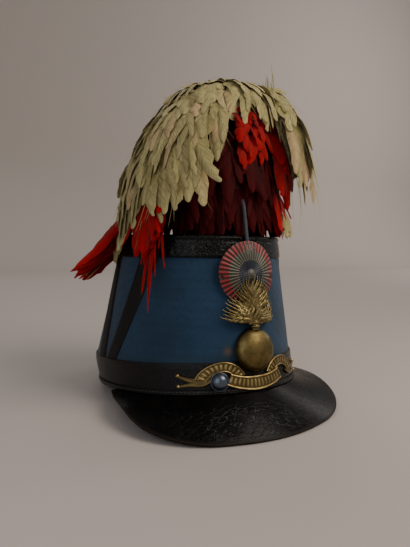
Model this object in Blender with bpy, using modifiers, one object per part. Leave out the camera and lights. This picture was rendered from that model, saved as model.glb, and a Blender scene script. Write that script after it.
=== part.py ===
"""A cadet's parade shako, modelled in metres with +Z up.

The cloth body is a leaning oval wall, open underneath for the head. Leather bands, side straps,
a visor and the metal badge lie on that wall, and a plume of feathers stands on a stem in front.
Every piece takes its place from the wall, so that it follows when a size changes.
The hat is worked out level, front towards -Y, and is then tipped back to stand as it does on a
table, on the back of its rim and the front of its visor.
"""

import math

import bmesh
import bpy
import numpy as np
from mathutils import Matrix, Vector

# Body: outside half sizes of the oval at the rim, at the belly above it and at the top
RIM_HALF_LENGTH = 0.0940
RIM_HALF_WIDTH = 0.0815
BELLY_HALF_LENGTH = 0.0983
BELLY_HALF_WIDTH = 0.0834
BELLY_SHIFT = 0.0062
TOP_HALF_LENGTH = 0.0643
TOP_HALF_WIDTH = 0.0679
TOP_SHIFT = -0.0203
BODY_HEIGHT = 0.1245
TOP_SLOPE = 0.0072
WALL_THICKNESS = 0.003

# Leather trim
BASE_BAND_HEIGHT = 0.0239
TOP_BAND_HEIGHT = 0.0182
BAND_THICKNESS = 0.0013
WELT_HEIGHT = 0.0036
WELT_THICKNESS = 0.0009
TOP_THICKNESS = 0.0024
TOP_SINK = 0.0016
STRAP_THICKNESS = 0.0012
STRAP_WIDTH_LOW = 0.0120
STRAP_WIDTH_HIGH = 0.0165
GAP = 0.0003

# Visor
VISOR_SPAN = math.radians(81.5)
VISOR_WIDTH = 0.0412
VISOR_DROOP = math.radians(42.0)
VISOR_THICKNESS = 0.0022
VISOR_CROWN = 0.0012

# Badge, all of it a little to the wearer's right of the middle
BADGE_ACROSS = -0.0015
COCKADE_RADIUS = 0.0256
COCKADE_HEIGHT = 0.0876
COCKADE_THICKNESS = 0.0008
COCKADE_DISH = 0.0034
COCKADE_RIBS = 42
COCKADE_RIB_DEPTH = 0.0007
COCKADE_BOSS_HEIGHT = 0.0016
BALL_RADIUS = 0.0168
BALL_DEPTH = 0.0098
BALL_HEIGHT = 0.0299
NECK_RADIUS = 0.0042
NECK_HEIGHT = 0.0490
FLAME_HEIGHT = 0.0390
FLAME_SPREAD = 0.0245
FLAME_STRAND = 0.0031
RIBBON_WIDTH = 0.0112
RIBBON_TAIL_WIDTH = 0.0074
RIBBON_REACH = 0.0525
RIBBON_RISE = 0.0212
RIBBON_THICKNESS = 0.0013
BUTTON_RADIUS = 0.0070
BUTTON_DOME = 0.0042
BUTTON_ACROSS = -0.0297
BUTTON_HEIGHT = 0.0088

# Plume
STEM_RADIUS = 0.0017
STEM_FOOT_HEIGHT = 0.1010
STEM_LENGTH = 0.0620
STEM_LEAN = 0.35
PLUME_HEIGHT = 0.1290
PLUME_OVERHANG = 0.0121
PLUME_REACH = TOP_HALF_WIDTH + PLUME_OVERHANG
PLUME_LOCK_RADIUS = 0.0092
PLUME_ROOT = 0.35
PLUME_BACK = 0.0400
PLUME_ACROSS = 0.0060

# The plume's head: half sizes and place as shares of the plume's reach and height
HEAD_REACH = 0.50
HEAD_RISE = 0.32
HEAD_PLACE = 0.60

# How far out a lock's root, crest and shoulder stand, as shares of its own reach
ROOT_OUT = 0.12
CREST_OUT = 0.27
SHOULDER_OUT = 0.88
LOCK_TAPER = 0.75

SEGMENTS = 48
BELLY_SHARE = BASE_BAND_HEIGHT / BODY_HEIGHT
STEP = 1e-4

# Visor outline: share of the half span, width and droop as shares of their sizes
VISOR_ROWS = [
    {"span": 0.00, "width": 1.00, "droop": 1.00},
    {"span": 0.20, "width": 1.01, "droop": 0.95},
    {"span": 0.40, "width": 1.05, "droop": 0.80},
    {"span": 0.60, "width": 0.92, "droop": 0.54},
    {"span": 0.80, "width": 0.51, "droop": 0.17},
    {"span": 0.92, "width": 0.29, "droop": 0.05},
    {"span": 1.00, "width": 0.13, "droop": 0.00},
]

# Side straps of the wearer's right side: where each leg stands on the wall at its two ends
STRAP_ROWS = [
    {"leg": "front", "low": math.radians(-81.5), "high": math.radians(-64.0)},
    {"leg": "rear", "low": math.radians(-93.0), "high": math.radians(-103.0)},
]

# Cockade: rings from the boss to the edge, at shares of its radius, with the share of the boss's
# height and of the ribs' depth that each ring has
COCKADE_ROWS = [
    {"radius": 0.08, "boss": 1.0, "ribbed": 0.0},
    {"radius": 0.18, "boss": 0.0, "ribbed": 0.2},
    {"radius": 0.43, "boss": 0.0, "ribbed": 0.6},
    {"radius": 0.72, "boss": 0.0, "ribbed": 0.9},
    {"radius": 1.00, "boss": 0.0, "ribbed": 1.0},
]

# Collar between ball and flames: heights from the neck's place and radii, as shares of its radius
NECK_ROWS = [
    {"up": -0.29, "radius": 1.0},
    {"up": 0.10, "radius": 1.0},
    {"up": 0.71, "radius": 0.7},
]
BALL_EDGE = 0.12
BALL_SEAT = 0.86

# Ribbon: places along each stretch of the wearer's left side. Across is a share of its reach, and
# up a share of the arch's rise, or in the middle of the sag
RIBBON_SAG = 0.0045
RIBBON_MIDDLE_ROWS = [
    {"across": 0.00, "up": 0.00},
    {"across": 0.21, "up": 0.22},
    {"across": 0.42, "up": 1.00},
]
RIBBON_ARCH_ROWS = [
    {"across": 0.24, "up": 0.62},
    {"across": 0.36, "up": 1.00},
    {"across": 0.50, "up": 1.10},
    {"across": 0.65, "up": 0.95},
    {"across": 0.76, "up": 0.58},
]
RIBBON_TAIL_ROWS = [
    {"across": 0.68, "up": 0.66},
    {"across": 0.84, "up": 0.50},
    {"across": 1.00, "up": 0.58},
]
RIBBON_LOW = 0.52
TAIL_WIDTH = 0.95

# Flame strands: where each starts and ends, as shares of the flame's spread and height
FLAME_ROWS = [
    {"start": 0.00, "across": 0.02, "rise": 1.00, "wave": 0.10},
    {"start": -0.06, "across": -0.26, "rise": 0.93, "wave": -0.08},
    {"start": 0.06, "across": 0.27, "rise": 0.92, "wave": 0.08},
    {"start": -0.10, "across": -0.50, "rise": 0.80, "wave": 0.08},
    {"start": 0.10, "across": 0.50, "rise": 0.76, "wave": -0.06},
    {"start": -0.13, "across": -0.72, "rise": 0.62, "wave": -0.06},
    {"start": 0.13, "across": 0.66, "rise": 0.58, "wave": 0.06},
    {"start": -0.15, "across": -0.90, "rise": 0.42, "wave": 0.06},
    {"start": 0.15, "across": 0.80, "rise": 0.36, "wave": -0.05},
    {"start": -0.16, "across": -1.06, "rise": 0.20, "wave": -0.05},
    {"start": 0.16, "across": 0.84, "rise": 0.16, "wave": 0.05},
    {"start": -0.03, "across": -0.12, "rise": 0.66, "wave": 0.12},
    {"start": 0.03, "across": 0.14, "rise": 0.64, "wave": -0.12},
]

# Plume locks: each row is a fan of locks round the plume's middle, from one angle to another,
# in degrees with the front at zero and the wearer's right at minus ninety. Each lock springs up
# to its crest, bends over its shoulder and hangs to its tip, at shares of the plume's height.
# Reach is a share of the plume's reach, thick of a lock's radius; both ends of a fan are given.
PLUME_FANS = [
    {"fan": "right fall", "locks": 8, "from": -48, "to": -122, "reach": (0.86, 1.20),
     "crest": 1.36, "shoulder": 0.49, "tip": (0.12, -0.05), "thick": 1.00},
    {"fan": "right top", "locks": 6, "from": -60, "to": -155, "reach": (0.58, 0.74),
     "crest": 1.30, "shoulder": 0.76, "tip": (0.42, 0.34), "thick": 1.15},
    {"fan": "rear fall", "locks": 7, "from": 214, "to": 122, "reach": (1.00, 0.88),
     "crest": 1.22, "shoulder": 0.62, "tip": (0.19, 0.21), "thick": 1.05},
    {"fan": "rear top", "locks": 5, "from": 200, "to": 70, "reach": (0.62, 0.58),
     "crest": 1.30, "shoulder": 0.90, "tip": (0.45, 0.48), "thick": 1.15},
    {"fan": "left fall", "locks": 6, "from": 106, "to": 40, "reach": (0.92, 1.00),
     "crest": 1.24, "shoulder": 1.00, "tip": (0.30, 0.20), "thick": 0.95},
    {"fan": "brow", "locks": 4, "from": 50, "to": -40, "reach": (0.60, 0.52),
     "crest": 1.30, "shoulder": 0.92, "tip": (0.62, 0.66), "thick": 1.05},
    {"fan": "red front", "locks": 5, "from": 50, "to": -42, "reach": (0.50, 0.58),
     "crest": 0.92, "shoulder": 0.60, "tip": (0.12, 0.09), "thick": 0.95},
    {"fan": "red hang", "locks": 2, "from": -79, "to": -92, "reach": (0.97, 1.03),
     "crest": 1.10, "shoulder": 0.46, "tip": (-0.20, -0.08), "thick": 0.62},
    {"fan": "red spray", "locks": 3, "from": -113, "to": -124, "reach": (1.46, 1.36),
     "crest": 0.96, "shoulder": 0.34, "tip": (-0.20, -0.27), "thick": 0.62},
]
RED_FANS = ("red front", "red hang", "red spray")


def material(name, colour, roughness, metallic=0.0):
    """A plain Principled finish, its colour given in linear values."""
    finish = bpy.data.materials.new(name)
    finish.use_nodes = True
    shader = finish.node_tree.nodes["Principled BSDF"]
    shader.inputs["Base Color"].default_value = (*colour, 1.0)
    shader.inputs["Roughness"].default_value = roughness
    shader.inputs["Metallic"].default_value = metallic
    finish.diffuse_color = (*colour, 1.0)
    return finish


def wall_sizes(share):
    """Half length, half width and shift to the back of the wall at a share of the way up."""
    tuck = np.minimum(share / BELLY_SHARE, 1.0)
    bulge = np.sin(tuck * math.pi / 2)
    rise = np.maximum((share - BELLY_SHARE) / (1.0 - BELLY_SHARE), 0.0)
    length = RIM_HALF_LENGTH + (BELLY_HALF_LENGTH - RIM_HALF_LENGTH) * bulge
    length = length + (TOP_HALF_LENGTH - BELLY_HALF_LENGTH) * rise
    width = RIM_HALF_WIDTH + (BELLY_HALF_WIDTH - RIM_HALF_WIDTH) * bulge
    width = width + (TOP_HALF_WIDTH - BELLY_HALF_WIDTH) * rise
    shift = BELLY_SHIFT * bulge + (TOP_SHIFT - BELLY_SHIFT) * rise
    return length, width, shift


def wall_surface(angle, share):
    """The wall's outer face at an angle from the front and a share of the way up."""
    length, width, shift = wall_sizes(share)
    height = share * (BODY_HEIGHT - TOP_SLOPE * np.cos(angle))
    return np.stack([width * np.sin(angle), shift - length * np.cos(angle), height], axis=-1)


def wall_points(angle, share, out):
    """Points that stand off the wall's outer face, each still in the tilted plane of its share."""
    angle, share, out = np.broadcast_arrays(angle, share, out)
    along = wall_surface(angle + STEP, share) - wall_surface(angle - STEP, share)
    upward = wall_surface(angle, share + STEP) - wall_surface(angle, share - STEP)
    normal = np.cross(along, upward)
    normal = normal / np.linalg.norm(normal, axis=-1, keepdims=True)
    normal[..., 2] = 0.0
    level = (normal ** 2).sum(axis=-1, keepdims=True)
    points = wall_surface(angle, share) + normal * out[..., None] / level
    length, _, shift = wall_sizes(share)
    points[..., 2] = share * (BODY_HEIGHT + TOP_SLOPE * (points[..., 1] - shift) / length)
    return points


def wall_place(across, height):
    """Angle and share of the wall's point at a distance across from the middle and a height."""
    across, height = np.broadcast_arrays(np.asarray(across, float), np.asarray(height, float))
    angle = np.zeros(across.shape)
    for _ in range(6):
        share = height / (BODY_HEIGHT - TOP_SLOPE * np.cos(angle))
        width = wall_surface(np.full(across.shape, math.pi / 2), share)[..., 0]
        angle = np.arcsin(across / width)
    return angle, share


def wall_spot(across, height, out):
    """Point off the wall at a distance across from the middle, a height and a distance out."""
    angle, share = wall_place(across, height)
    return wall_points(angle, share, out)


def add_object(name, mesh, finish, collection):
    """An object for a mesh, with its finish and smooth shading that keeps hard corners."""
    if finish is not None:
        mesh.materials.append(finish)
    piece = bpy.data.objects.new(name, mesh)
    collection.objects.link(piece)
    mesh.shade_smooth()
    mesh.set_sharp_from_angle(angle=math.radians(35))
    return piece


def mesh_from(name, points, faces):
    mesh = bpy.data.meshes.new(name)
    mesh.from_pydata(points.reshape(-1, 3).tolist(), [], faces)
    mesh.validate()
    return mesh


def skin_mesh(name, loops, round_ring):
    """Skins a grid of closed cross-sections, as a full ring or with a cap at each end.

    The grid's first index goes round a section and its second from section to section.
    Each section runs up its outer side and down its inner side, in as many points.
    """
    around, sections = loops.shape[:2]
    faces = []
    steps = sections if round_ring else sections - 1
    for i in range(around):
        for j in range(steps):
            a, b = i * sections, ((i + 1) % around) * sections
            k = (j + 1) % sections
            faces.append((a + j, a + k, b + k, b + j))
    if not round_ring:
        last = sections - 1
        for i in range(around // 2 - 1):
            outer, inner = i * sections, (around - 1 - i) * sections
            above, inner_above = outer + sections, inner - sections
            faces.append((outer, above, inner_above, inner))
            faces.append((outer + last, inner + last, inner_above + last, above + last))
    return mesh_from(name, loops, faces)


def wall_ring(name, profile, finish, collection):
    """A band round the whole wall, from a profile of shares of height and distances out."""
    angle = np.linspace(0.0, 2 * math.pi, SEGMENTS, endpoint=False)
    share = np.array([point[0] for point in profile])[:, None]
    out = np.array([point[1] for point in profile])[:, None]
    return add_object(name, skin_mesh(name, wall_points(angle, share, out), True), finish, collection)


def wall_patch(name, angle, share, inner, outer, finish, collection):
    """A strip on the wall: grids of angles and shares, rows going up, with two distances out."""
    outside = wall_points(angle, share, outer)
    inside = wall_points(angle, share, inner)
    loops = np.concatenate([outside, inside[::-1]])
    return add_object(name, skin_mesh(name, loops, False), finish, collection)


def smooth_row(rows, column, key, shares):
    """A column of a table read smoothly between its rows, by cubic pieces with level ends."""
    places = np.array([row[key] for row in rows])
    values = np.array([row[column] for row in rows])
    slopes = np.gradient(values, places)
    slopes[0] = 0.0
    index = np.clip(np.searchsorted(places, shares, side="right") - 1, 0, len(rows) - 2)
    width = places[index + 1] - places[index]
    t = (shares - places[index]) / width
    start = values[index] * (1 + 2 * t) * (1 - t) ** 2 + slopes[index] * width * t * (1 - t) ** 2
    end = values[index + 1] * t * t * (3 - 2 * t) + slopes[index + 1] * width * t * t * (t - 1)
    return start + end


def bevelled_tube(name, points, radii, sides, collection):
    """A closed tube along points, made as a bevelled curve and then turned into a mesh."""
    curve = bpy.data.curves.new(name, "CURVE")
    curve.dimensions = "3D"
    curve.bevel_depth = 1.0
    curve.bevel_resolution = max(0, sides // 2 - 2)
    curve.use_fill_caps = True
    spline = curve.splines.new("POLY")
    spline.points.add(len(points) - 1)
    for spot, place, radius in zip(spline.points, points, radii):
        spot.co = (*place, 1.0)
        spot.radius = radius
    guide = bpy.data.objects.new(name, curve)
    collection.objects.link(guide)
    evaluated = guide.evaluated_get(bpy.context.evaluated_depsgraph_get())
    mesh = bpy.data.meshes.new_from_object(evaluated)
    tidy = bmesh.new()
    tidy.from_mesh(mesh)
    bmesh.ops.remove_doubles(tidy, verts=tidy.verts, dist=1e-6)
    bmesh.ops.recalc_face_normals(tidy, faces=tidy.faces)
    tidy.to_mesh(mesh)
    tidy.free()
    bpy.data.objects.remove(guide)
    return mesh


def turned(name, profile, steps, collection, finish):
    """A solid turned about its own Z axis, from a profile run from its top to its bottom."""
    mesh = bpy.data.meshes.new(name)
    points = [(radius, 0.0, height) for radius, height in profile]
    mesh.from_pydata(points, [(i, i + 1) for i in range(len(points) - 1)], [])
    piece = bpy.data.objects.new(name, mesh)
    mesh.materials.append(finish)
    collection.objects.link(piece)
    screw = piece.modifiers.new("Turn", "SCREW")
    screw.steps = steps
    screw.render_steps = steps
    screw.use_merge_vertices = True
    screw.merge_threshold = 1e-5
    screw.use_smooth_shade = True
    return piece


def boolean(piece, cutter, operation, own=False):
    """Joins another object to a piece, or cuts it from the piece."""
    modifier = piece.modifiers.new(operation.title(), "BOOLEAN")
    modifier.operation = operation
    modifier.solver = "EXACT"
    modifier.use_self = own
    modifier.object = cutter
    return modifier


def hide_guide(guide):
    guide.hide_render = True
    guide.display_type = "WIRE"


def facing(place, across, height):
    """The turn and place that point a solid's own Z axis straight out of the wall."""
    angle, share = wall_place(across, height)
    along = wall_surface(angle + STEP, share) - wall_surface(angle - STEP, share)
    upward = wall_surface(angle, share + STEP) - wall_surface(angle, share - STEP)
    outward = Vector(np.cross(along, upward)).normalized()
    side = Vector(along).normalized()
    up = outward.cross(side)
    turn = Matrix((side, up, outward)).transposed().to_4x4()
    return Matrix.Translation(Vector(place)) @ turn


def make_body(finishes, collection):
    """Cloth wall, its leather bands, the welt at the foot and the top."""
    belly = [BELLY_SHARE / 3, BELLY_SHARE * 2 / 3, BELLY_SHARE]
    top_under = 1.0 - (TOP_SINK + TOP_THICKNESS) / BODY_HEIGHT
    wall_top = top_under - GAP / BODY_HEIGHT
    outside = [(share, 0.0) for share in [0.0, *belly, wall_top]]
    inside = [(share, -WALL_THICKNESS) for share in [wall_top, *belly[::-1], 0.0]]
    wall_ring("crown", outside + inside, finishes["cloth"], collection)

    band_in = GAP
    band_out = GAP + BAND_THICKNESS
    outside = [(share, band_out) for share in [0.0, *belly]]
    inside = [(share, band_in) for share in [*belly[::-1], 0.0]]
    wall_ring("base_band", outside + inside, finishes["leather"], collection)

    edge = TOP_SINK / 2 / BODY_HEIGHT
    band_low = 1.0 - TOP_BAND_HEIGHT / BODY_HEIGHT
    profile = [(band_low, band_out), (1.0 - edge, band_out), (1.0, band_out - BAND_THICKNESS / 3),
               (1.0, band_in), (1.0 - edge, band_in), (band_low, band_in)]
    wall_ring("top_band", profile, finishes["leather"], collection)

    welt_in = band_out + GAP
    welt_out = welt_in + WELT_THICKNESS
    welt_top = WELT_HEIGHT / BODY_HEIGHT
    profile = [(0.0, welt_out), (welt_top, welt_out), (welt_top, welt_in), (0.0, welt_in)]
    wall_ring("base_welt", profile, finishes["leather"], collection)

    angle = np.linspace(0.0, 2 * math.pi, SEGMENTS, endpoint=False)
    top = wall_points(angle, 1.0 - TOP_SINK / BODY_HEIGHT, 0.0)
    under = wall_points(angle, top_under, 0.0)
    faces = [tuple(range(SEGMENTS)), tuple(range(2 * SEGMENTS - 1, SEGMENTS - 1, -1))]
    for j in range(SEGMENTS):
        k = (j + 1) % SEGMENTS
        faces.append((SEGMENTS + j, SEGMENTS + k, k, j))
    mesh = mesh_from("top_disc", np.concatenate([top, under]), faces)
    add_object("top_disc", mesh, finishes["leather"], collection)


def make_visor(finish, collection):
    """The visor: a flange under the rim, then a sheet that droops to its round edge."""
    columns = 41
    flange_in = -WALL_THICKNESS + GAP
    flange_out = 2 * GAP + BAND_THICKNESS + WELT_THICKNESS
    span = np.linspace(-1.0, 1.0, columns)
    angle = span * VISOR_SPAN
    width = VISOR_WIDTH * smooth_row(VISOR_ROWS, "width", "span", np.abs(span))
    droop = VISOR_DROOP * smooth_row(VISOR_ROWS, "droop", "span", np.abs(span))
    rim = wall_points(angle, 0.0, 0.0)
    outward = np.stack([np.sin(angle) / RIM_HALF_WIDTH, -np.cos(angle) / RIM_HALF_LENGTH], axis=-1)
    outward = outward / np.linalg.norm(outward, axis=1, keepdims=True)

    def row(out, drop):
        place = rim.copy()
        place[:, :2] += outward * out[:, None]
        place[:, 2] = -GAP - drop
        return place

    still = np.zeros(columns)
    rows = [row(still + flange_in, still), row(still + flange_out, still)]
    edge_out = width * np.cos(droop)
    edge_drop = width * np.sin(droop)
    for share in (0.25, 0.5, 0.75, 1.0):
        lift = VISOR_CROWN * math.sin(share * math.pi) * width / VISOR_WIDTH
        out = flange_out + (edge_out - flange_out) * share
        rows.append(row(out, edge_drop * share - lift))
    grid = np.array(rows)
    count = len(rows)
    faces = []
    for i in range(count - 1):
        for j in range(columns - 1):
            a, b = i * columns + j, (i + 1) * columns + j
            faces.append((a, b, b + 1, a + 1))
    visor = add_object("visor", mesh_from("visor", grid, faces), finish, collection)
    wall = visor.modifiers.new("Leather", "SOLIDIFY")
    wall.thickness = VISOR_THICKNESS
    wall.offset = -1.0
    wall.use_even_offset = True


def make_straps(finish, collection):
    """Two legs of a V on each side, between the base band and the top band."""
    low = BELLY_SHARE + 2 * GAP / BODY_HEIGHT
    high = 1.0 - (TOP_BAND_HEIGHT + 2 * GAP) / BODY_HEIGHT
    share = np.linspace(low, high, 9)[:, None]
    way = (share - low) / (high - low)
    width = STRAP_WIDTH_LOW + (STRAP_WIDTH_HIGH - STRAP_WIDTH_LOW) * way
    radius = BELLY_HALF_WIDTH + (TOP_HALF_WIDTH - BELLY_HALF_WIDTH) * way
    across = np.array([-0.5, 0.0, 0.5])[None, :]
    for row in STRAP_ROWS:
        angle = row["low"] + (row["high"] - row["low"]) * way + across * width / radius
        for side, flip in (("right", 1.0), ("left", -1.0)):
            name = f"strap_{side}_{row['leg']}"
            turned_angle = angle if flip > 0 else -angle[:, ::-1]
            wall_patch(name, turned_angle, share, GAP, GAP + STRAP_THICKNESS, finish, collection)


def cockade_back(across, height):
    """How far the cockade's back stands off the wall: low at its foot, over the stem at its head."""
    rise = (height - COCKADE_HEIGHT) / COCKADE_RADIUS
    foot = 2 * GAP
    head = GAP + BAND_THICKNESS + 2 * GAP + 2 * STEM_RADIUS + COCKADE_RIB_DEPTH
    lift = foot + (head - foot) * np.clip((rise + 1.0) / 2.0, 0.0, 1.0)
    reach = np.hypot(across - BADGE_ACROSS, height - COCKADE_HEIGHT) / COCKADE_RADIUS
    return lift + COCKADE_DISH * (1.0 - np.clip(reach, 0.0, 1.0) ** 2)


def make_cockade(finish, collection):
    """Round pressed tin plate with radial ribs and a small boss in the middle."""
    spokes = 2 * COCKADE_RIBS
    radii, boss, ribbed = (np.array([row[key] for row in COCKADE_ROWS])
                           for key in ("radius", "boss", "ribbed"))
    angle = np.arange(spokes) * 2 * math.pi / spokes
    crest = np.where(np.arange(spokes) % 2 == 0, 1.0, 0.0)
    across = BADGE_ACROSS + COCKADE_RADIUS * radii[:, None] * np.sin(angle)
    height = COCKADE_HEIGHT + COCKADE_RADIUS * radii[:, None] * np.cos(angle)
    out = cockade_back(across, height) + COCKADE_THICKNESS
    out = out + COCKADE_BOSS_HEIGHT * boss[:, None] + COCKADE_RIB_DEPTH * ribbed[:, None] * crest
    grid = wall_spot(across, height, out)
    middle_out = cockade_back(BADGE_ACROSS, COCKADE_HEIGHT) + COCKADE_THICKNESS + COCKADE_BOSS_HEIGHT
    middle = wall_spot(BADGE_ACROSS, COCKADE_HEIGHT, middle_out)
    points = np.concatenate([middle[None], grid.reshape(-1, 3)])
    faces = []
    for j in range(spokes):
        k = (j + 1) % spokes
        faces.append((0, 1 + k, 1 + j))
        for i in range(len(radii) - 1):
            a, b = 1 + i * spokes, 1 + (i + 1) * spokes
            faces.append((a + j, a + k, b + k, b + j))
    cockade = add_object("cockade", mesh_from("cockade", points, faces), finish, collection)
    wall = cockade.modifiers.new("Tin", "SOLIDIFY")
    wall.thickness = COCKADE_THICKNESS
    wall.offset = -1.0


def strand_path(row, count):
    """Middle line of one flame strand, in front of the cockade, from the neck to its tip."""
    t = np.linspace(0.0, 1.0, count)
    start = row["start"] * FLAME_SPREAD
    end = row["across"] * FLAME_SPREAD
    across = start + (end - start) * t ** 1.25
    across = across + row["wave"] * FLAME_SPREAD * np.sin(t * 1.6 * math.pi) * t * (1.0 - t) * 2.0
    height = NECK_HEIGHT + row["rise"] * FLAME_HEIGHT * t ** 0.9
    across = across + BADGE_ACROSS
    radius = FLAME_STRAND * (0.55 + 0.9 * np.sqrt(t) * (1.0 - t)) * (1.0 - 0.45 * t)
    clear = cockade_back(across, height) + COCKADE_THICKNESS + COCKADE_RIB_DEPTH
    base = GAP + BAND_THICKNESS + 2 * GAP
    out = np.maximum(clear, base) + 4 * GAP + radius
    return wall_spot(across, height, out), radius


def make_grenade(finish, collection, guides):
    """Cast grenade: domed ball, neck and a fan of flame strands, fused in one body."""
    back = GAP + BAND_THICKNESS + GAP
    place = wall_spot(BADGE_ACROSS, BALL_HEIGHT, back)
    steps = 6
    profile = [(0.0, BALL_DEPTH)]
    for i in range(1, steps + 1):
        turn = i / steps * math.pi / 2
        profile.append((BALL_RADIUS * math.sin(turn), BALL_DEPTH * math.cos(turn)))
    profile[-1] = (BALL_RADIUS, BALL_DEPTH * BALL_EDGE)
    profile += [(BALL_RADIUS, 0.0), (0.0, 0.0)]
    ball = turned("grenade", profile, 24, collection, finish)
    ball.matrix_world = facing(place, BADGE_ACROSS, BALL_HEIGHT)

    neck_out = back + NECK_RADIUS * 0.9
    heights = [BALL_HEIGHT + BALL_RADIUS * BALL_SEAT]
    heights += [NECK_HEIGHT + NECK_RADIUS * row["up"] for row in NECK_ROWS]
    radii = [NECK_RADIUS * 0.8] + [NECK_RADIUS * row["radius"] for row in NECK_ROWS]
    points = [wall_spot(BADGE_ACROSS, height, neck_out) for height in heights]
    parts = [bevelled_tube("neck", points, radii, 8, guides)]
    for row in FLAME_ROWS:
        points, radius = strand_path(row, 6)
        parts.append(bevelled_tube("strand", points, radius, 6, guides))
    fuse = bpy.data.objects.new("grenade_strands", join_meshes("grenade_strands", parts))
    guides.objects.link(fuse)
    hide_guide(fuse)
    boolean(ball, fuse, "UNION", own=True)


def join_meshes(name, meshes):
    """Puts several meshes into one, still as separate bodies, and frees the originals."""
    joined = bmesh.new()
    for mesh in meshes:
        joined.from_mesh(mesh)
        bpy.data.meshes.remove(mesh)
    mesh = bpy.data.meshes.new(name)
    joined.to_mesh(mesh)
    joined.free()
    return mesh


def ribbon_strip(name, line, widths, inner, outer):
    """A flat strip on the wall along a line of places, each (across, height), and its widths."""
    line = np.array(line)
    step = np.gradient(line, axis=0)
    step = step / np.linalg.norm(step, axis=1, keepdims=True)
    side = np.stack([-step[:, 1], step[:, 0]], axis=-1)
    edges = np.array([-0.5, 0.0, 0.5])[:, None, None] * np.asarray(widths)[None, :, None]
    places = line[None] + edges * side[None]
    outside = wall_spot(places[..., 0], places[..., 1], outer)
    inside = wall_spot(places[..., 0], places[..., 1], inner)
    return skin_mesh(name, np.concatenate([outside, inside[::-1]]), False)


def curve_through(points, count):
    """Places along the one smooth polynomial that passes through three to five points."""
    points = np.array(points)
    keys = np.linspace(0.0, 1.0, len(points))
    shares = np.linspace(0.0, 1.0, count)
    degree = len(points) - 1
    return np.stack([np.polyval(np.polyfit(keys, points[:, k], degree), shares) for k in (0, 1)], axis=-1)


def ribbon_line(rows, rise, side, count):
    """One stretch of the ribbon on a side, minus one or one, always run from right to left."""
    places = [(side * row["across"] * RIBBON_REACH, row["up"] * rise) for row in rows]
    line = curve_through(places, count)
    line[:, 0] += BADGE_ACROSS
    return line if side > 0 else line[::-1]


def make_ribbon(finish, collection, guides):
    """Scroll under the ball: a low middle, an arch and a forked tail on each side, in one plate."""
    over_band = GAP + BAND_THICKNESS + GAP
    over_welt = over_band + WELT_THICKNESS + GAP
    arch_out = over_band + RIBBON_THICKNESS + GAP
    tail_in = over_band + RIBBON_THICKNESS / 2
    tail_out = tail_in + RIBBON_THICKNESS
    rise = RIBBON_RISE - RIBBON_TAIL_WIDTH / 2
    arch_widths = np.full(9, RIBBON_TAIL_WIDTH)
    tail_widths = np.full(5, RIBBON_TAIL_WIDTH * TAIL_WIDTH)
    meshes = []
    for side in (-1.0, 1.0):
        line = ribbon_line(RIBBON_ARCH_ROWS, rise, side, len(arch_widths))
        meshes.append(ribbon_strip("arch", line, arch_widths, over_band, arch_out))
        line = ribbon_line(RIBBON_TAIL_ROWS, rise, side, len(tail_widths))
        meshes.append(ribbon_strip("tail", line, tail_widths, tail_in, tail_out))
    ends = bpy.data.objects.new("ribbon_ends", join_meshes("ribbon_ends", meshes))
    guides.objects.link(ends)
    hide_guide(ends)
    mirrored = [{"across": -row["across"], "up": row["up"]} for row in RIBBON_MIDDLE_ROWS[:0:-1]]
    line = ribbon_line(mirrored + RIBBON_MIDDLE_ROWS, RIBBON_SAG, 1.0, 13)
    line[:, 1] += RIBBON_WIDTH * RIBBON_LOW
    mesh = ribbon_strip("ribbon", line, np.full(13, RIBBON_WIDTH), over_welt, over_welt + RIBBON_THICKNESS)
    ribbon = add_object("ribbon", mesh, finish, collection)
    boolean(ribbon, ends, "UNION", own=True)
    round_hole(ribbon, "ribbon_ball_cutter", BADGE_ACROSS, BALL_HEIGHT, BALL_RADIUS + GAP, guides)
    round_hole(ribbon, "ribbon_button_cutter", BUTTON_ACROSS, BUTTON_HEIGHT, BUTTON_RADIUS + GAP, guides)


def round_hole(piece, name, across, height, radius, guides):
    """Cuts a round place for a neighbour, straight out of the wall."""
    bpy.ops.mesh.primitive_cylinder_add(vertices=32, radius=radius, depth=0.04)
    cutter = bpy.context.object
    cutter.name = name
    for holder in list(cutter.users_collection):
        holder.objects.unlink(cutter)
    guides.objects.link(cutter)
    cutter.matrix_world = facing(wall_spot(across, height, 0.0), across, height)
    hide_guide(cutter)
    boolean(piece, cutter, "DIFFERENCE")


def make_button(finish, collection):
    """Domed button that clears the welt and stands on the band by its shank."""
    back = GAP + BAND_THICKNESS + GAP
    lift = WELT_THICKNESS + GAP
    shank = BUTTON_RADIUS * 0.55
    rim = 0.0008
    profile = [(0.0, lift + rim + BUTTON_DOME)]
    for i in range(1, 6):
        turn = i / 5 * math.pi / 2
        profile.append((BUTTON_RADIUS * math.sin(turn), lift + rim + BUTTON_DOME * math.cos(turn)))
    profile += [(BUTTON_RADIUS, lift), (shank, lift), (shank, 0.0), (0.0, 0.0)]
    button = turned("button", profile, 16, collection, finish)
    place = wall_spot(BUTTON_ACROSS, BUTTON_HEIGHT, back)
    button.matrix_world = facing(place, BUTTON_ACROSS, BUTTON_HEIGHT)


def stem_points():
    """The stem's line: up the front of the top band, then back towards the plume's middle."""
    out = GAP + BAND_THICKNESS + GAP + STEM_RADIUS
    front_height = BODY_HEIGHT - TOP_SLOPE
    foot = wall_spot(0.0, STEM_FOOT_HEIGHT, out)
    edge = wall_spot(0.0, front_height, out)
    rise = edge - foot
    rise = rise / np.linalg.norm(rise)
    left = STEM_LENGTH - np.linalg.norm(edge - foot)
    back = np.array([0.0, STEM_LEAN, 1.0]) / math.hypot(STEM_LEAN, 1.0)
    middle = edge + rise * left * 0.5
    return np.array([foot, edge, middle, middle + back * left * 0.5])


def plume_middle():
    """Where the plume's middle stands over the top, as distances across and front to back."""
    front_height = BODY_HEIGHT - TOP_SLOPE
    return PLUME_ACROSS, wall_spot(0.0, front_height, 0.0)[1] + PLUME_BACK


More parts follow.
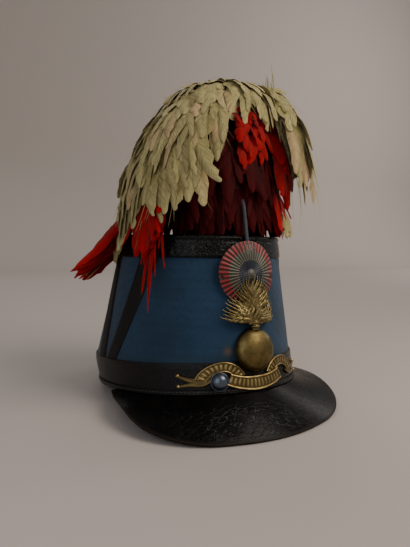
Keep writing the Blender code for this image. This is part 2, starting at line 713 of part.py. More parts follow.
def lock_path(fan, share, count):
    """Middle line and radii of one lock, at a share of the way through its fan."""
    foot = BODY_HEIGHT - TOP_SLOPE
    angle = math.radians(fan["from"] + (fan["to"] - fan["from"]) * share)
    reach = PLUME_REACH * (fan["reach"][0] + (fan["reach"][1] - fan["reach"][0]) * share)
    tip = fan["tip"][0] + (fan["tip"][1] - fan["tip"][0]) * share
    root = (ROOT_OUT * reach, foot + PLUME_ROOT * PLUME_HEIGHT)
    crest = (CREST_OUT * reach, foot + fan["crest"] * PLUME_HEIGHT)
    shoulder = (SHOULDER_OUT * reach, foot + fan["shoulder"] * PLUME_HEIGHT)
    ends = np.array([root, crest, shoulder, (reach, foot + tip * PLUME_HEIGHT)])
    t = np.linspace(0.0, 1.0, count)[:, None]
    line = (ends[0] * (1 - t) ** 3 + 3 * ends[1] * t * (1 - t) ** 2
            + 3 * ends[2] * t * t * (1 - t) + ends[3] * t ** 3)
    across, along = plume_middle()
    t = t[:, 0]
    radius = PLUME_LOCK_RADIUS * fan["thick"] * (0.55 + 0.55 * np.sin(t * math.pi * LOCK_TAPER))
    radius = radius * np.where(t > LOCK_TAPER, 1.0 - 2.6 * (t - LOCK_TAPER), 1.0)
    places = [across + line[:, 0] * math.sin(angle), along - line[:, 0] * math.cos(angle), line[:, 1]]
    return np.stack(places, axis=-1), radius


def keep_outer_shell(mesh):
    """Keeps the largest connected skin of a mesh, without the sealed hollows inside it."""
    shells = bmesh.new()
    shells.from_mesh(mesh)
    left = set(shells.verts)
    groups = []
    while left:
        group = {left.pop()}
        front = list(group)
        while front:
            near = {edge.other_vert(vert) for vert in front for edge in vert.link_edges}
            front = list(near - group)
            group |= near
        left -= group
        groups.append(group)
    groups.sort(key=len)
    for group in groups[:-1]:
        bmesh.ops.delete(shells, geom=list(group), context="VERTS")
    shells.to_mesh(mesh)
    shells.free()


def fuse(piece, meshes, guides):
    """Joins closed meshes to a piece one after another, so that they end as one body."""
    helper = bpy.data.objects.new(piece.name + "_helper", meshes[0])
    guides.objects.link(helper)
    modifier = boolean(piece, helper, "UNION")
    modifier.solver = "MANIFOLD"
    for mesh in meshes:
        helper.data = mesh
        bpy.context.view_layer.update()
        joined = bpy.data.meshes.new_from_object(piece.evaluated_get(bpy.context.evaluated_depsgraph_get()))
        piece.data = joined
    piece.modifiers.remove(modifier)
    bpy.data.objects.remove(helper)
    keep_outer_shell(piece.data)


def make_plume(finishes, collection, guides):
    """Feathers bound on one head: a core with locks that spring up, arch over and hang down."""
    across, along = plume_middle()
    bpy.ops.mesh.primitive_uv_sphere_add(segments=14, ring_count=8, radius=1.0)
    plume = bpy.context.object
    plume.name = "plume"
    for holder in list(plume.users_collection):
        holder.objects.unlink(plume)
    collection.objects.link(plume)
    size = (PLUME_REACH * HEAD_REACH, PLUME_REACH * HEAD_REACH, PLUME_HEIGHT * HEAD_RISE)
    place = Vector((across, along, BODY_HEIGHT - TOP_SLOPE + PLUME_HEIGHT * HEAD_PLACE))
    plume.data.transform(Matrix.Translation(place) @ Matrix.Diagonal((*size, 1.0)))
    shades = [finishes["white_feather"], finishes["red_feather"]]
    for shade in shades:
        plume.data.materials.append(shade)
    meshes = []
    for fan in PLUME_FANS:
        for share in np.linspace(0.0, 1.0, fan["locks"]):
            points, radius = lock_path(fan, share, 6)
            mesh = bevelled_tube("lock", points, radius, 6, guides)
            for shade in shades:
                mesh.materials.append(shade)
            index = 1 if fan["fan"] in RED_FANS else 0
            mesh.polygons.foreach_set("material_index", [index] * len(mesh.polygons))
            meshes.append(mesh)
    fuse(plume, meshes, guides)
    points = stem_points()
    points[-1] = points[-1] + (points[-1] - points[-2]) * 0.1
    radii = np.full(len(points), STEM_RADIUS + 2 * GAP)
    bore = bpy.data.objects.new("plume_bore", bevelled_tube("plume_bore", points, radii, 8, guides))
    guides.objects.link(bore)
    hide_guide(bore)
    boolean(plume, bore, "DIFFERENCE")


def rest_frame(collection, guides):
    """Tips the level hat back until the back of its rim and the front of its visor are level."""
    depsgraph = bpy.context.evaluated_depsgraph_get()
    places = {}
    for piece in collection.objects:
        evaluated = piece.evaluated_get(depsgraph)
        mesh = evaluated.to_mesh()
        spots = np.empty(len(mesh.vertices) * 3)
        mesh.vertices.foreach_get("co", spots)
        turn = np.array(piece.matrix_world)
        places[piece.name] = spots.reshape(-1, 3) @ turn[:3, :3].T + turn[:3, 3]
        evaluated.to_mesh_clear()
    rear = places["base_welt"]
    heel = rear[np.lexsort((-rear[:, 1], rear[:, 2].round(6)))[0]]
    edge = places["visor"]
    slopes = np.arctan2(heel[2] - edge[:, 2], heel[1] - edge[:, 1])
    lean = float(slopes.max())
    turn = np.array(Matrix.Rotation(-lean, 3, "X"))
    every = np.concatenate(list(places.values())) @ turn.T
    low = every.min(axis=0)
    high = every.max(axis=0)
    frame = bpy.data.objects.new("hat_frame", None)
    collection.objects.link(frame)
    frame.rotation_euler = (-lean, 0.0, 0.0)
    frame.location = (-(low[0] + high[0]) / 2, -(low[1] + high[1]) / 2, -low[2])
    for piece in [*collection.objects, *guides.objects]:
        if piece is not frame:
            piece.parent = frame


def main():
    for item in list(bpy.data.objects):
        bpy.data.objects.remove(item)
    scene = bpy.context.scene.collection
    collection = bpy.data.collections.new("shako")
    guides = bpy.data.collections.new("guides")
    scene.children.link(collection)
    scene.children.link(guides)
    finishes = {
        "cloth": material("blue_wool_cloth", (0.035, 0.085, 0.17), 0.95),
        "leather": material("black_leather", (0.012, 0.012, 0.013), 0.35),
        "strap_leather": material("worn_strap_leather", (0.025, 0.022, 0.02), 0.6),
        "tin": material("painted_tin", (0.35, 0.06, 0.05), 0.45, 0.3),
        "brass": material("aged_brass", (0.38, 0.26, 0.08), 0.38, 1.0),
        "button": material("dark_button_metal", (0.03, 0.035, 0.05), 0.2, 0.8),
        "stem": material("blackened_wire", (0.03, 0.03, 0.03), 0.5, 0.8),
        "white_feather": material("white_feather", (0.62, 0.56, 0.42), 0.9),
        "red_feather": material("red_feather", (0.40, 0.01, 0.015), 0.85),
    }
    make_body(finishes, collection)
    make_visor(finishes["leather"], collection)
    make_straps(finishes["strap_leather"], collection)
    make_cockade(finishes["tin"], collection)
    make_grenade(finishes["brass"], collection, guides)
    make_ribbon(finishes["brass"], collection, guides)
    make_button(finishes["button"], collection)
    points = stem_points()
    stem = bevelled_tube("plume_stem", points, np.full(len(points), STEM_RADIUS), 8, guides)
    add_object("plume_stem", stem, finishes["stem"], collection)
    make_plume(finishes, collection, guides)
    rest_frame(collection, guides)


main()
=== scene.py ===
# %% [markdown]
# # A plumed parade shako
# This lesson dresses a hat whose solids are already built. The hat is a stiff oval
# body covered in blue wool, trimmed with black leather, with a pressed tin cockade, a cast brass
# grenade over a ribbon, and a plume of white and red feathers that falls to one side.
# Loading comes first: the solids are the frame that every new surface is fitted to.

# %% Load the imported frame
import math

import bmesh
import bpy
import numpy as np
from mathutils import Matrix, Vector


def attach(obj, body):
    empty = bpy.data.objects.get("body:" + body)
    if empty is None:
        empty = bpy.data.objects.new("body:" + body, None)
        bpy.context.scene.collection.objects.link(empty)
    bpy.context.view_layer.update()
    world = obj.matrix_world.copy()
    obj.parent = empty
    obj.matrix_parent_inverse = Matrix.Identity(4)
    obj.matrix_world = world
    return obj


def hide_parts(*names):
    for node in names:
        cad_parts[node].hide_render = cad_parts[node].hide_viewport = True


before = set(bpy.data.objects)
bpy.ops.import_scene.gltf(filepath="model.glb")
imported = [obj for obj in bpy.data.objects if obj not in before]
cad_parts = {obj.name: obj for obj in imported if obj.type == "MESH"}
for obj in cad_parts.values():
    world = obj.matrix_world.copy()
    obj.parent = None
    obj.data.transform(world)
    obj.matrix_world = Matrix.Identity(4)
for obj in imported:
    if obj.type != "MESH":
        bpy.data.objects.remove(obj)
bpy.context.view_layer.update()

# %% [markdown]
# ## Where the hat is level
# The hat stands tipped back, on the heel of its rim and the lip of its visor. Its shapes are
# easiest to describe level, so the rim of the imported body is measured: its heel and its toe lie
# in the rim's plane, and they give the lean and the middle of the rim. Measuring the frame keeps
# the looks on the solids even when the solids are built again.

# %% Find the lean from the rim
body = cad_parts["crown"].data
spots = np.empty(len(body.vertices) * 3)
body.vertices.foreach_get("co", spots)
spots = spots.reshape(-1, 3)
heel = spots[spots[:, 2].argmin()]
toe = spots[(spots[:, 2] + spots[:, 1] / 2).argmin()]
LEAN = math.atan2(toe[2] - heel[2], heel[1] - toe[1])
RIM_MIDDLE = (heel + toe) / 2
print("lean in degrees:", round(math.degrees(LEAN), 3), "rim middle:", np.round(RIM_MIDDLE, 5).tolist())


def turned_back(vectors):
    """Turns level vectors about the X axis by the lean, front up."""
    x, y, z = np.moveaxis(np.asarray(vectors, float), -1, 0)
    along = y * math.cos(LEAN) + z * math.sin(LEAN)
    return np.stack([x, along, z * math.cos(LEAN) - y * math.sin(LEAN)], axis=-1)


def to_room(points):
    """Level places to places in the room: turned back, then moved to the middle of the rim."""
    return turned_back(points) + RIM_MIDDLE


# %% [markdown]
# ## The wall as a function
# Card and cloth bodies like this one are stretched on a block, so the whole wall is one smooth
# surface of two numbers: the angle round the hat and the share of the way up. Every other piece
# is a distance out from it. Writing the wall as a function, and not as a stored mesh, lets each
# piece ask for exactly the points that it needs.

# %% Sizes of the wall in metres
RIM_HALF = (0.0940, 0.0815)
BELLY_HALF = (0.0983, 0.0834)
TOP_HALF = (0.0643, 0.0679)
BELLY_SHIFT, TOP_SHIFT = 0.0062, -0.0203
BODY_HEIGHT, TOP_SLOPE = 0.1245, 0.0072
WALL_THICKNESS = 0.003
BASE_BAND_HEIGHT, TOP_BAND_HEIGHT = 0.0239, 0.0182
BAND_THICKNESS = 0.0013
WELT_HEIGHT, WELT_THICKNESS = 0.0036, 0.0009
TOP_SINK, TOP_THICKNESS = 0.0016, 0.0024
GAP = 0.0003
OVER_BAND = GAP + BAND_THICKNESS + GAP
OVER_WELT = OVER_BAND + WELT_THICKNESS + GAP
BELLY_SHARE = BASE_BAND_HEIGHT / BODY_HEIGHT
STEP = 1e-4


def bell(values, middle, width, power=2):
    """One at a middle, falling smoothly to nothing within about two widths."""
    return np.exp(-(((values - middle) / width) ** power))


def faded(values, start, full):
    """Nothing up to a start, then evenly up to one; the full end may lie on either side."""
    return np.clip((values - start) / (full - start), 0, 1)


def unit(vectors):
    """Vectors divided by their own lengths."""
    return vectors / np.maximum(np.linalg.norm(vectors, axis=-1, keepdims=True), 1e-12)


def circle(count):
    """Angles evenly round a circle."""
    return np.arange(count) * 2 * math.pi / count


def eased(count):
    """Places from 0 to 1 by a half cosine, closer together near both ends."""
    return 0.5 - 0.5 * np.cos(np.linspace(0.0, math.pi, count))


def run_along(line):
    """Length of a line up to each of its points: its steps summed up."""
    return np.concatenate([[0.0], np.cumsum(np.linalg.norm(np.diff(line, axis=0), axis=1))])


def wall_sizes(share):
    """Half length, half width and shift back: a quarter sine out to the belly, then straight."""
    bulge = np.sin(np.minimum(share / BELLY_SHARE, 1.0) * math.pi / 2)
    rise = np.maximum((share - BELLY_SHARE) / (1.0 - BELLY_SHARE), 0.0)
    half = [rim + (belly - rim) * bulge + (top - belly) * rise
            for rim, belly, top in zip(RIM_HALF, BELLY_HALF, TOP_HALF)]
    return half[0], half[1], BELLY_SHIFT * bulge + (TOP_SHIFT - BELLY_SHIFT) * rise


def wall_surface(angle, share):
    """An oval at each share, its height sloping down towards the front."""
    length, width, shift = wall_sizes(share)
    height = share * (BODY_HEIGHT - TOP_SLOPE * np.cos(angle))
    return np.stack([width * np.sin(angle), shift - length * np.cos(angle), height], axis=-1)


def wall_normal(angle, share):
    """Unit vector out of the wall: the cross product of its two directions."""
    along = wall_surface(angle + STEP, share) - wall_surface(angle - STEP, share)
    upward = wall_surface(angle, share + STEP) - wall_surface(angle, share - STEP)
    return unit(np.cross(along, upward))


def wall_points(angle, share, out):
    """Points a distance out from the wall, moved level so that each stays in its share's plane."""
    angle, share, out = np.broadcast_arrays(angle, share, out)
    normal = wall_normal(angle, share)
    normal[..., 2] = 0.0
    level = (normal ** 2).sum(axis=-1, keepdims=True)
    points = wall_surface(angle, share) + normal * out[..., None] / level
    length, _, shift = wall_sizes(share)
    points[..., 2] = share * (BODY_HEIGHT + TOP_SLOPE * (points[..., 1] - shift) / length)
    return points


def wall_place(across, height):
    """Angle and share of the wall's point at a distance across and a height, found by repeats."""
    across, height = np.broadcast_arrays(np.asarray(across, float), np.asarray(height, float))
    angle = np.zeros(across.shape)
    for _ in range(6):
        share = height / (BODY_HEIGHT - TOP_SLOPE * np.cos(angle))
        angle = np.arcsin(across / wall_surface(np.full(across.shape, math.pi / 2), share)[..., 0])
    return angle, share


def wall_spot(across, height, out):
    """A point a distance out from the wall, at a distance across and a height."""
    angle, share = wall_place(across, height)
    return wall_points(angle, share, out)


rim_line = wall_surface(np.linspace(0, 2 * math.pi, 721), 0.0)
print("round the rim in mm:", round(1000 * run_along(rim_line)[-1], 1))

# %% [markdown]
# ## From arrays to meshes
# A surface is a grid of points, and its faces join neighbours. A few small functions do all
# of the mesh work: one lists the faces of a grid, one closes a thin slab, two turn faces outwards
# by the sign of the enclosed volume, and one puts arrays into a Blender mesh and merges points that
# coincide at a pole or a seam.

# %% Grid, slab and mesh


def grid_faces(rows, columns, wrap_rows=False, wrap_columns=False):
    """Quads between neighbours of a grid, going round where a direction is closed."""
    r, c = np.meshgrid(np.arange(rows - (not wrap_rows)), np.arange(columns - (not wrap_columns)),
                       indexing="ij")
    below, beside = (r + 1) % rows, (c + 1) % columns
    quads = [r * columns + c, r * columns + beside, below * columns + beside, below * columns + c]
    return np.stack(quads, axis=-1).reshape(-1, 4)


def slab(outside, inside):
    """Two grids of one size, joined along their four borders into a closed thin solid."""
    rows, columns = outside.shape[:2]
    count = rows * columns
    index = np.arange(count).reshape(rows, columns)
    border = np.concatenate([index[0, :-1], index[:-1, -1], index[-1, :0:-1], index[:0:-1, 0]])
    ahead = np.roll(border, -1)
    front = grid_faces(rows, columns)
    walls = np.stack([ahead, border, border + count, ahead + count], axis=-1)
    faces = np.concatenate([front, front[:, ::-1] + count, walls])
    return np.concatenate([outside.reshape(-1, 3), inside.reshape(-1, 3)]), faces


def enclosed(points, quads):
    """Signed volume: a sixth of the triple product of each triangle's corners, summed."""
    a, b, c, d = (points[quads[:, k]] for k in range(4))
    return (a * np.cross(b, c) + a * np.cross(c, d)).sum() / 6


def facing_out(points, quads):
    """The quads of a closed form, turned round if they face inwards."""
    return quads[:, ::-1] if enclosed(points - points.mean(axis=0), quads) < 0 else quads


def make_piece(name, points, quads, finishes, nodes=(), which=None, values=None, uv=None,
               closed=True):
    """A finished piece from level points and quads, with values per point and a UV per point."""
    points = to_room(np.asarray(points).reshape(-1, 3))
    if closed:
        quads = facing_out(points, quads)
    mesh = bpy.data.meshes.new(name)
    mesh.from_pydata(points.tolist(), [], quads.tolist())
    for finish in finishes:
        mesh.materials.append(finish)
    if which is not None:
        mesh.polygons.foreach_set("material_index", np.asarray(which, np.int32))
    for key, numbers in (values or {}).items():
        layer = mesh.attributes.new(key, "FLOAT", "POINT")
        layer.data.foreach_set("value", np.asarray(numbers, np.float32).ravel())
    if uv is not None:
        layer = mesh.uv_layers.new(name="UVMap")
        corners = np.empty(len(mesh.loops), np.int32)
        mesh.loops.foreach_get("vertex_index", corners)
        layer.data.foreach_set("uv", np.asarray(uv, np.float32).reshape(-1, 2)[corners].ravel())
    shape = bmesh.new()
    shape.from_mesh(mesh)
    bmesh.ops.remove_doubles(shape, verts=shape.verts, dist=1e-6)
    shape.to_mesh(mesh)
    shape.free()
    mesh.shade_smooth()
    mesh.set_sharp_from_angle(angle=math.radians(50))
    piece = bpy.data.objects.new(name, mesh)
    bpy.context.scene.collection.objects.link(piece)
    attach(piece, "root")
    if nodes:
        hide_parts(*nodes)
    print(name, "points:", len(mesh.vertices), "faces:", len(mesh.polygons))
    return piece


# %% [markdown]
# ## A kit for finishes
# Each material is a small graph of nodes, so one helper adds a node with its settings, values and
# links. Colours are given as the hex values that a paint chart has, and one function turns them
# to the linear light that a renderer needs. Pattern sizes are real millimetres.

# %% Colour, scale and one node helper


def linear(code):
    """An sRGB hex colour as linear red, green, blue and one: the standard sRGB curve undone."""
    parts = np.array([int(code[i:i + 2], 16) for i in (1, 3, 5)]) / 255.0
    parts = np.where(parts <= 0.04045, parts / 12.92, ((parts + 0.055) / 1.055) ** 2.4)
    return (*parts.tolist(), 1.0)


def per_mm(size):
    """A texture's scale for a pattern that repeats about every so many millimetres."""
    return 1000.0 / size


def add(tree, kind, settings=None, values=None, links=None, stops=None):
    """Adds one node: properties, socket values, links from other sockets, and a ramp's stops."""
    item = tree.nodes.new(kind)
    for key, value in (settings or {}).items():
        setattr(item, key, value)
    for key, value in (values or {}).items():
        item.inputs[key].default_value = value
    for key, source in (links or {}).items():
        tree.links.new(source, item.inputs[key])
    if stops:
        ramp = item.color_ramp.elements
        while len(ramp) < len(stops):
            ramp.new(0.5)
        for element, (position, colour) in zip(ramp, stops):
            element.position = position
            element.color = colour
    return item


def new_finish(name, **values):
    """A material whose Principled shader has these constant socket values; also its tree."""
    finish = bpy.data.materials.new(name)
    finish.use_nodes = True
    tree = finish.node_tree
    shader = tree.nodes["Principled BSDF"]
    for key, value in values.items():
        shader.inputs[key.replace("_", " ")].default_value = value
    return finish, tree, shader


WHITE = (1.0, 1.0, 1.0, 1.0)

# %% [markdown]
# ## Wool broadcloth
# Parade cloth is woven wool that is fulled until the threads hide under a nap, then dyed. The eye
# reads a dull, even blue with tiny fibres, a faint weave, a soft glow at grazing angles, and
# slow patches where light and hands have faded it. The real thread is about 0.6 mm and would be
# lost in the picture, so the weave is drawn at 1.1 mm.

# %% Make the wool finish


def make_wool():
    """Two crossed waves for the weave, fine noise for fibres and slow noise for fading."""
    finish, tree, shader = new_finish("fulled_wool_broadcloth", Roughness=0.92, Sheen_Weight=0.15,
                                      Sheen_Roughness=0.5, Specular_IOR_Level=0.2)
    place = add(tree, "ShaderNodeTexCoord").outputs["Object"]
    fade = add(tree, "ShaderNodeTexNoise", values={"Scale": per_mm(45), "Detail": 3.0},
               links={"Vector": place})
    fibre = add(tree, "ShaderNodeTexNoise", values={"Scale": per_mm(1.3), "Detail": 4.0, "Roughness": 0.75},
                links={"Vector": place})
    tone = add(tree, "ShaderNodeValToRGB", links={"Fac": fade.outputs["Fac"]}, stops=[
        (0.30, linear("#1e3447")), (0.55, linear("#25405a")), (0.80, linear("#2a4866"))])
    fleck = add(tree, "ShaderNodeValToRGB", links={"Fac": fibre.outputs["Fac"]}, stops=[
        (0.30, linear("#b9b9b9")), (0.70, WHITE)])
    mixed = add(tree, "ShaderNodeMix", {"data_type": "RGBA", "blend_type": "MULTIPLY"}, {0: 0.8},
                {6: tone.outputs[0], 7: fleck.outputs[0]})
    # Painted shade: a darker blue mixed in towards the rear of the hat; the same value also darkens the
    # cloth just above the base band.
    rear_shade_foot_dark = add(tree, "ShaderNodeAttribute", {"attribute_name": "rear_shade_foot_dark"})
    shaded_cloth = add(tree, "ShaderNodeMix", {"data_type": "RGBA"}, {7: linear("#20303a")},
                {0: rear_shade_foot_dark.outputs["Fac"], 6: mixed.outputs[2]})
    rust = add(tree, "ShaderNodeAttribute", {"attribute_name": "rust"})
    stained = add(tree, "ShaderNodeMix", {"data_type": "RGBA"}, {7: linear("#5d4a33")},
                  {0: rust.outputs["Fac"], 6: shaded_cloth.outputs[2]})
    tree.links.new(stained.outputs[2], shader.inputs["Base Color"])
    weave = [add(tree, "ShaderNodeTexWave", {"wave_type": "BANDS", "bands_direction": way},
                 {"Scale": per_mm(1.1) / 20, "Distortion": 1.5, "Detail": 2.0, "Detail Scale": 2.0},
                 {"Vector": place}) for way in ("DIAGONAL", "Z")]
    threads = add(tree, "ShaderNodeMath", {"operation": "ADD"},
                  links={0: weave[0].outputs["Fac"], 1: weave[1].outputs["Fac"]})
    nap = add(tree, "ShaderNodeMath", {"operation": "MULTIPLY_ADD"}, {1: 2.5},
              {0: fibre.outputs["Fac"], 2: threads.outputs[0]})
    bump = add(tree, "ShaderNodeBump", values={"Strength": 0.35, "Distance": 0.0004},
               links={"Height": nap.outputs[0]})
    tree.links.new(bump.outputs[0], shader.inputs["Normal"])
    return finish


WOOL = make_wool()
print("finish:", WOOL.name)

# %% [markdown]
# ## Blacked leather
# The trim is cowhide dyed and waxed black. It was smooth when new; age gives it a net of fine
# cracks, dull scuffs and brown cut edges. One function makes all the finishes, since the bands, the
# straps, the varnished visor and the card inside differ only in gloss, colour and how far they have
# cracked. Leather's IOR is about 1.5; the visor's varnish is a clear coat over it.

# %% Make the leather finishes
EVEN_GRAIN, DRAWN_GRAIN = (1.0, 1.0, 1.0), (0.35, 1.0, 1.0)
LEATHERS = {
    "waxed_cowhide_band": ("#0a0909", "#221d19", 0.29, 0.22, 1.8, 0.6, 0.03),
    "glossed_cowhide_top_band": ("#050505", "#191613", 0.22, 0.16, 2.6, 0.9, 0.05),
    "dry_cowhide_strap": ("#131110", "#28221c", 0.55, 0.20, 2.4, 0.4, 0.0),
    "varnished_visor_leather": ("#060505", "#1f1813", 0.26, 0.08, 3.0, 0.12, 0.03, DRAWN_GRAIN),
    "brown_card_inside": ("#4a3b2c", "#5d4d3b", 0.8, 0.30, 9.0, 0.1, 0.0),
}


def make_leather(name, base, worn, gloss, shine, crack_mm, crack_depth, coat, grain=EVEN_GRAIN):
    """Voronoi borders for cracks, two noises for pores and scuffs, an edge value for wear."""
    finish, tree, shader = new_finish(name, IOR=1.5, Specular_IOR_Level=shine, Coat_Weight=coat,
                                      Coat_Roughness=0.10)
    place = add(tree, "ShaderNodeTexCoord").outputs["Object"]
    warp = add(tree, "ShaderNodeTexNoise", values={"Scale": per_mm(6), "Detail": 2.0},
               links={"Vector": place})
    bent = add(tree, "ShaderNodeMix", {"data_type": "VECTOR"}, {0: 0.004},
               {4: place, 5: warp.outputs["Color"]})
    drawn = add(tree, "ShaderNodeVectorMath", {"operation": "MULTIPLY"}, {1: grain}, {0: bent.outputs[1]})
    cracks = add(tree, "ShaderNodeTexVoronoi", {"feature": "DISTANCE_TO_EDGE"},
                 {"Scale": per_mm(crack_mm), "Randomness": 1.0}, {"Vector": drawn.outputs[0]})
    open_crack = add(tree, "ShaderNodeMapRange", values={1: 0.0, 2: 0.10, 3: 0.0, 4: 1.0},
                     links={0: cracks.outputs["Distance"]})
    pores = add(tree, "ShaderNodeTexNoise", values={"Scale": per_mm(0.9), "Detail": 3.0},
                links={"Vector": place})
    scuff = add(tree, "ShaderNodeTexNoise", values={"Scale": per_mm(14), "Detail": 6.0, "Roughness": 0.7},
                links={"Vector": place})
    patch = add(tree, "ShaderNodeMapRange", values={1: 0.45, 2: 0.75, 3: 0.0, 4: 1.0},
                links={0: scuff.outputs["Fac"]})
    wear = add(tree, "ShaderNodeAttribute", {"attribute_name": "wear"})
    ragged = add(tree, "ShaderNodeMath", {"operation": "MULTIPLY_ADD", "use_clamp": True}, {1: 0.25},
                 {0: patch.outputs[0], 2: wear.outputs["Fac"]})
    tone = add(tree, "ShaderNodeMix", {"data_type": "RGBA"}, {6: linear(base), 7: linear(worn)},
               {0: ragged.outputs[0]})
    dull = add(tree, "ShaderNodeMapRange", values={1: 0.0, 2: 1.0, 3: gloss, 4: min(gloss + 0.3, 0.9)},
               links={0: ragged.outputs[0]})
    tree.links.new(dull.outputs[0], shader.inputs["Roughness"])
    creased = add(tree, "ShaderNodeAttribute", {"attribute_name": "creased"})
    deep = add(tree, "ShaderNodeMath", {"operation": "ADD"}, {1: crack_depth}, {0: creased.outputs["Fac"]})
    net = add(tree, "ShaderNodeMath", {"operation": "MULTIPLY"},
              links={0: deep.outputs[0], 1: open_crack.outputs[0]})
    line = add(tree, "ShaderNodeMapRange", values={1: 0.0, 2: 0.05, 3: 1.0, 4: 0.0},
               links={0: cracks.outputs["Distance"]})
    dash = add(tree, "ShaderNodeMapRange", values={1: 0.48, 2: 0.60, 3: 0.0, 4: 1.0},
               links={0: pores.outputs["Fac"]})
    stretch = add(tree, "ShaderNodeMapRange", values={1: 0.42, 2: 0.52, 3: 0.0, 4: 1.0},
                  links={0: scuff.outputs["Fac"]})
    broken = add(tree, "ShaderNodeMath", {"operation": "MULTIPLY"},
                 links={0: stretch.outputs[0], 1: dash.outputs[0]})
    dashed = add(tree, "ShaderNodeMath", {"operation": "MULTIPLY"},
                 links={0: line.outputs[0], 1: broken.outputs[0]})
    # Painted highlight: light grey dashes along the cracks in the creased part stand for glints on the crack
    # edges.
    crack_glint = add(tree, "ShaderNodeMath", {"operation": "MULTIPLY"},
                links={0: creased.outputs["Fac"], 1: dashed.outputs[0]})
    glinted_tone = add(tree, "ShaderNodeMix", {"data_type": "RGBA"}, {7: linear("#7e8082")},
                 {0: crack_glint.outputs[0], 6: tone.outputs[2]})
    tree.links.new(glinted_tone.outputs[2], shader.inputs["Base Color"])
    height = add(tree, "ShaderNodeMath", {"operation": "MULTIPLY_ADD"}, {1: 0.35},
                 {0: pores.outputs["Fac"], 2: net.outputs[0]})
    bump = add(tree, "ShaderNodeBump", values={"Strength": 0.5, "Distance": 0.0005},
               links={"Height": height.outputs[0]})
    tree.links.new(bump.outputs[0], shader.inputs["Normal"])
    return finish


BAND_LEATHER, TOP_LEATHER, STRAP_LEATHER, VISOR_LEATHER, CARD = (
    make_leather(name, *values) for name, values in LEATHERS.items())
print("leathers:", list(LEATHERS))

# %% [markdown]
# ## The cloth body
# On the real hat the cloth is glued over a card tube. A solidified single sheet would do, but a
# closed profile carried round the hat gives the inner face its own finish and keeps both rims
# shut. The cloth is not quite flat: soft swells of a quarter of a millimetre fade out under the
# leather, and a rust spot marks the front.

# %% Carry the body's profile round the hat
ROUND = 384
ANGLES = circle(ROUND)
WALL_ROWS, INNER_ROWS = 84, 24
TOP_UNDER = 1.0 - (TOP_SINK + TOP_THICKNESS) / BODY_HEIGHT
WALL_TOP = TOP_UNDER - GAP / BODY_HEIGHT
BAND_LOW = 1.0 - TOP_BAND_HEIGHT / BODY_HEIGHT
SWELL, SWELL_FADE = 0.00010, 0.06
SWELL_WAVES = ((1.0, 5, 7, 0.0), (0.7, 11, -9, 1.0), (0.5, 23, 16, 2.0))
RUST_ACROSS, RUST_HEIGHT, RUST_RADIUS = -0.0215, 0.0300, 0.0030


def swell(angle, share):
    """Slow waves round and up the wall, faded to nothing under both bands."""
    low = faded(share, BELLY_SHARE, BELLY_SHARE + SWELL_FADE)
    high = faded(share, BAND_LOW, BAND_LOW - SWELL_FADE)
    waves = sum(tall * np.sin(turns * angle + climb * share + shift)
                for tall, turns, climb, shift in SWELL_WAVES)
    return SWELL * waves * low * high


def rust_spot(angle, share):
    """A bell round one place on the front of the wall."""
    points = wall_surface(angle, share)
    distance = np.hypot(points[..., 0] - RUST_ACROSS, points[..., 2] - RUST_HEIGHT)
    return bell(distance, 0.0, RUST_RADIUS) * (points[..., 1] < 0)


def make_crown():
    """Up the outside of the wall with its swells, and down the plain inside."""
    up = np.linspace(0.0, WALL_TOP, WALL_ROWS)
    share = np.concatenate([up, np.linspace(WALL_TOP, 0.0, INNER_ROWS)])[:, None]
    out = np.full((len(share), ROUND), -WALL_THICKNESS)
    out[:WALL_ROWS] = swell(ANGLES, share[:WALL_ROWS])
    faces = grid_faces(*out.shape, True, True)
    inner = faces[:, 0] // ROUND >= WALL_ROWS - 1
    angle, share = np.broadcast_arrays(ANGLES, share)
    rear = 0.5 - 0.5 * np.cos(angle)
    # Painted shade towards the rear, and a darker band just above the base band.
    rear_shade_foot_dark = np.clip(0.35 * rear + 0.5 * bell(share, BELLY_SHARE, 0.05), 0, 1)
    values = {"rear_shade_foot_dark": rear_shade_foot_dark, "rust": 0.8 * rust_spot(angle, share), "wear": np.zeros(out.shape)}
    return make_piece("crown_cloth", wall_points(angle, share, out), faces, [WOOL, CARD], ["crown"],
                      inner.astype(int), values)


make_crown()

# %% [markdown]
# ## Bands, welt and top
# Leather bands are cut straight, wetted and stretched on, so their edges are rounded by use. Each
# is a closed profile, with distances out that fall off near its edges, carried round the wall.
# A narrow welt covers the seam at the foot, and the upper band turns over a lip that holds the
# leather top.

# %% Round a band's edges and carry it round
BAND_ROWS = 22
ROLLED_LIP = ((0.90, 0.06, 0.45), (0.76, 0.035, -0.30))  # place, width and height of each ridge
TOOLED_LINES = ((0.09, 0.02, -0.18), (0.92, 0.02, -0.18))


def rounded(place, edge):
    """One in the middle of a strip from 0 to 1, falling as a quarter circle over each edge."""
    depth = np.clip(np.minimum(place, 1.0 - place) / edge, 0.0, 1.0)
    return np.sqrt(np.clip(1.0 - (1.0 - depth) ** 2, 0.0, 1.0))


def make_band(name, low, high, inner, thickness, ridges, finish, node):
    """A band between two shares: rounded outer face with its ridges, flat inner face, closed."""
    place = np.concatenate([eased(BAND_ROWS), np.linspace(1.0, 0.0, 6)])
    outer = np.arange(len(place)) < BAND_ROWS
    share = (low + (high - low) * place)[:, None]
    rise = 0.35 + 0.65 * rounded(place, 0.10)
    rise = rise + sum(height * bell(place, at, width) for at, width, height in ridges)
    out = inner + np.where(outer, thickness * rise, 0.0)[:, None]
    wear = np.where(outer, 1.0 - rounded(place, 0.05), 0.0)[:, None] + 0 * ANGLES
    return make_piece(name, wall_points(ANGLES, share, out), grid_faces(*wear.shape, True, True), [finish],
                      [node], values={"wear": 0.6 * wear})


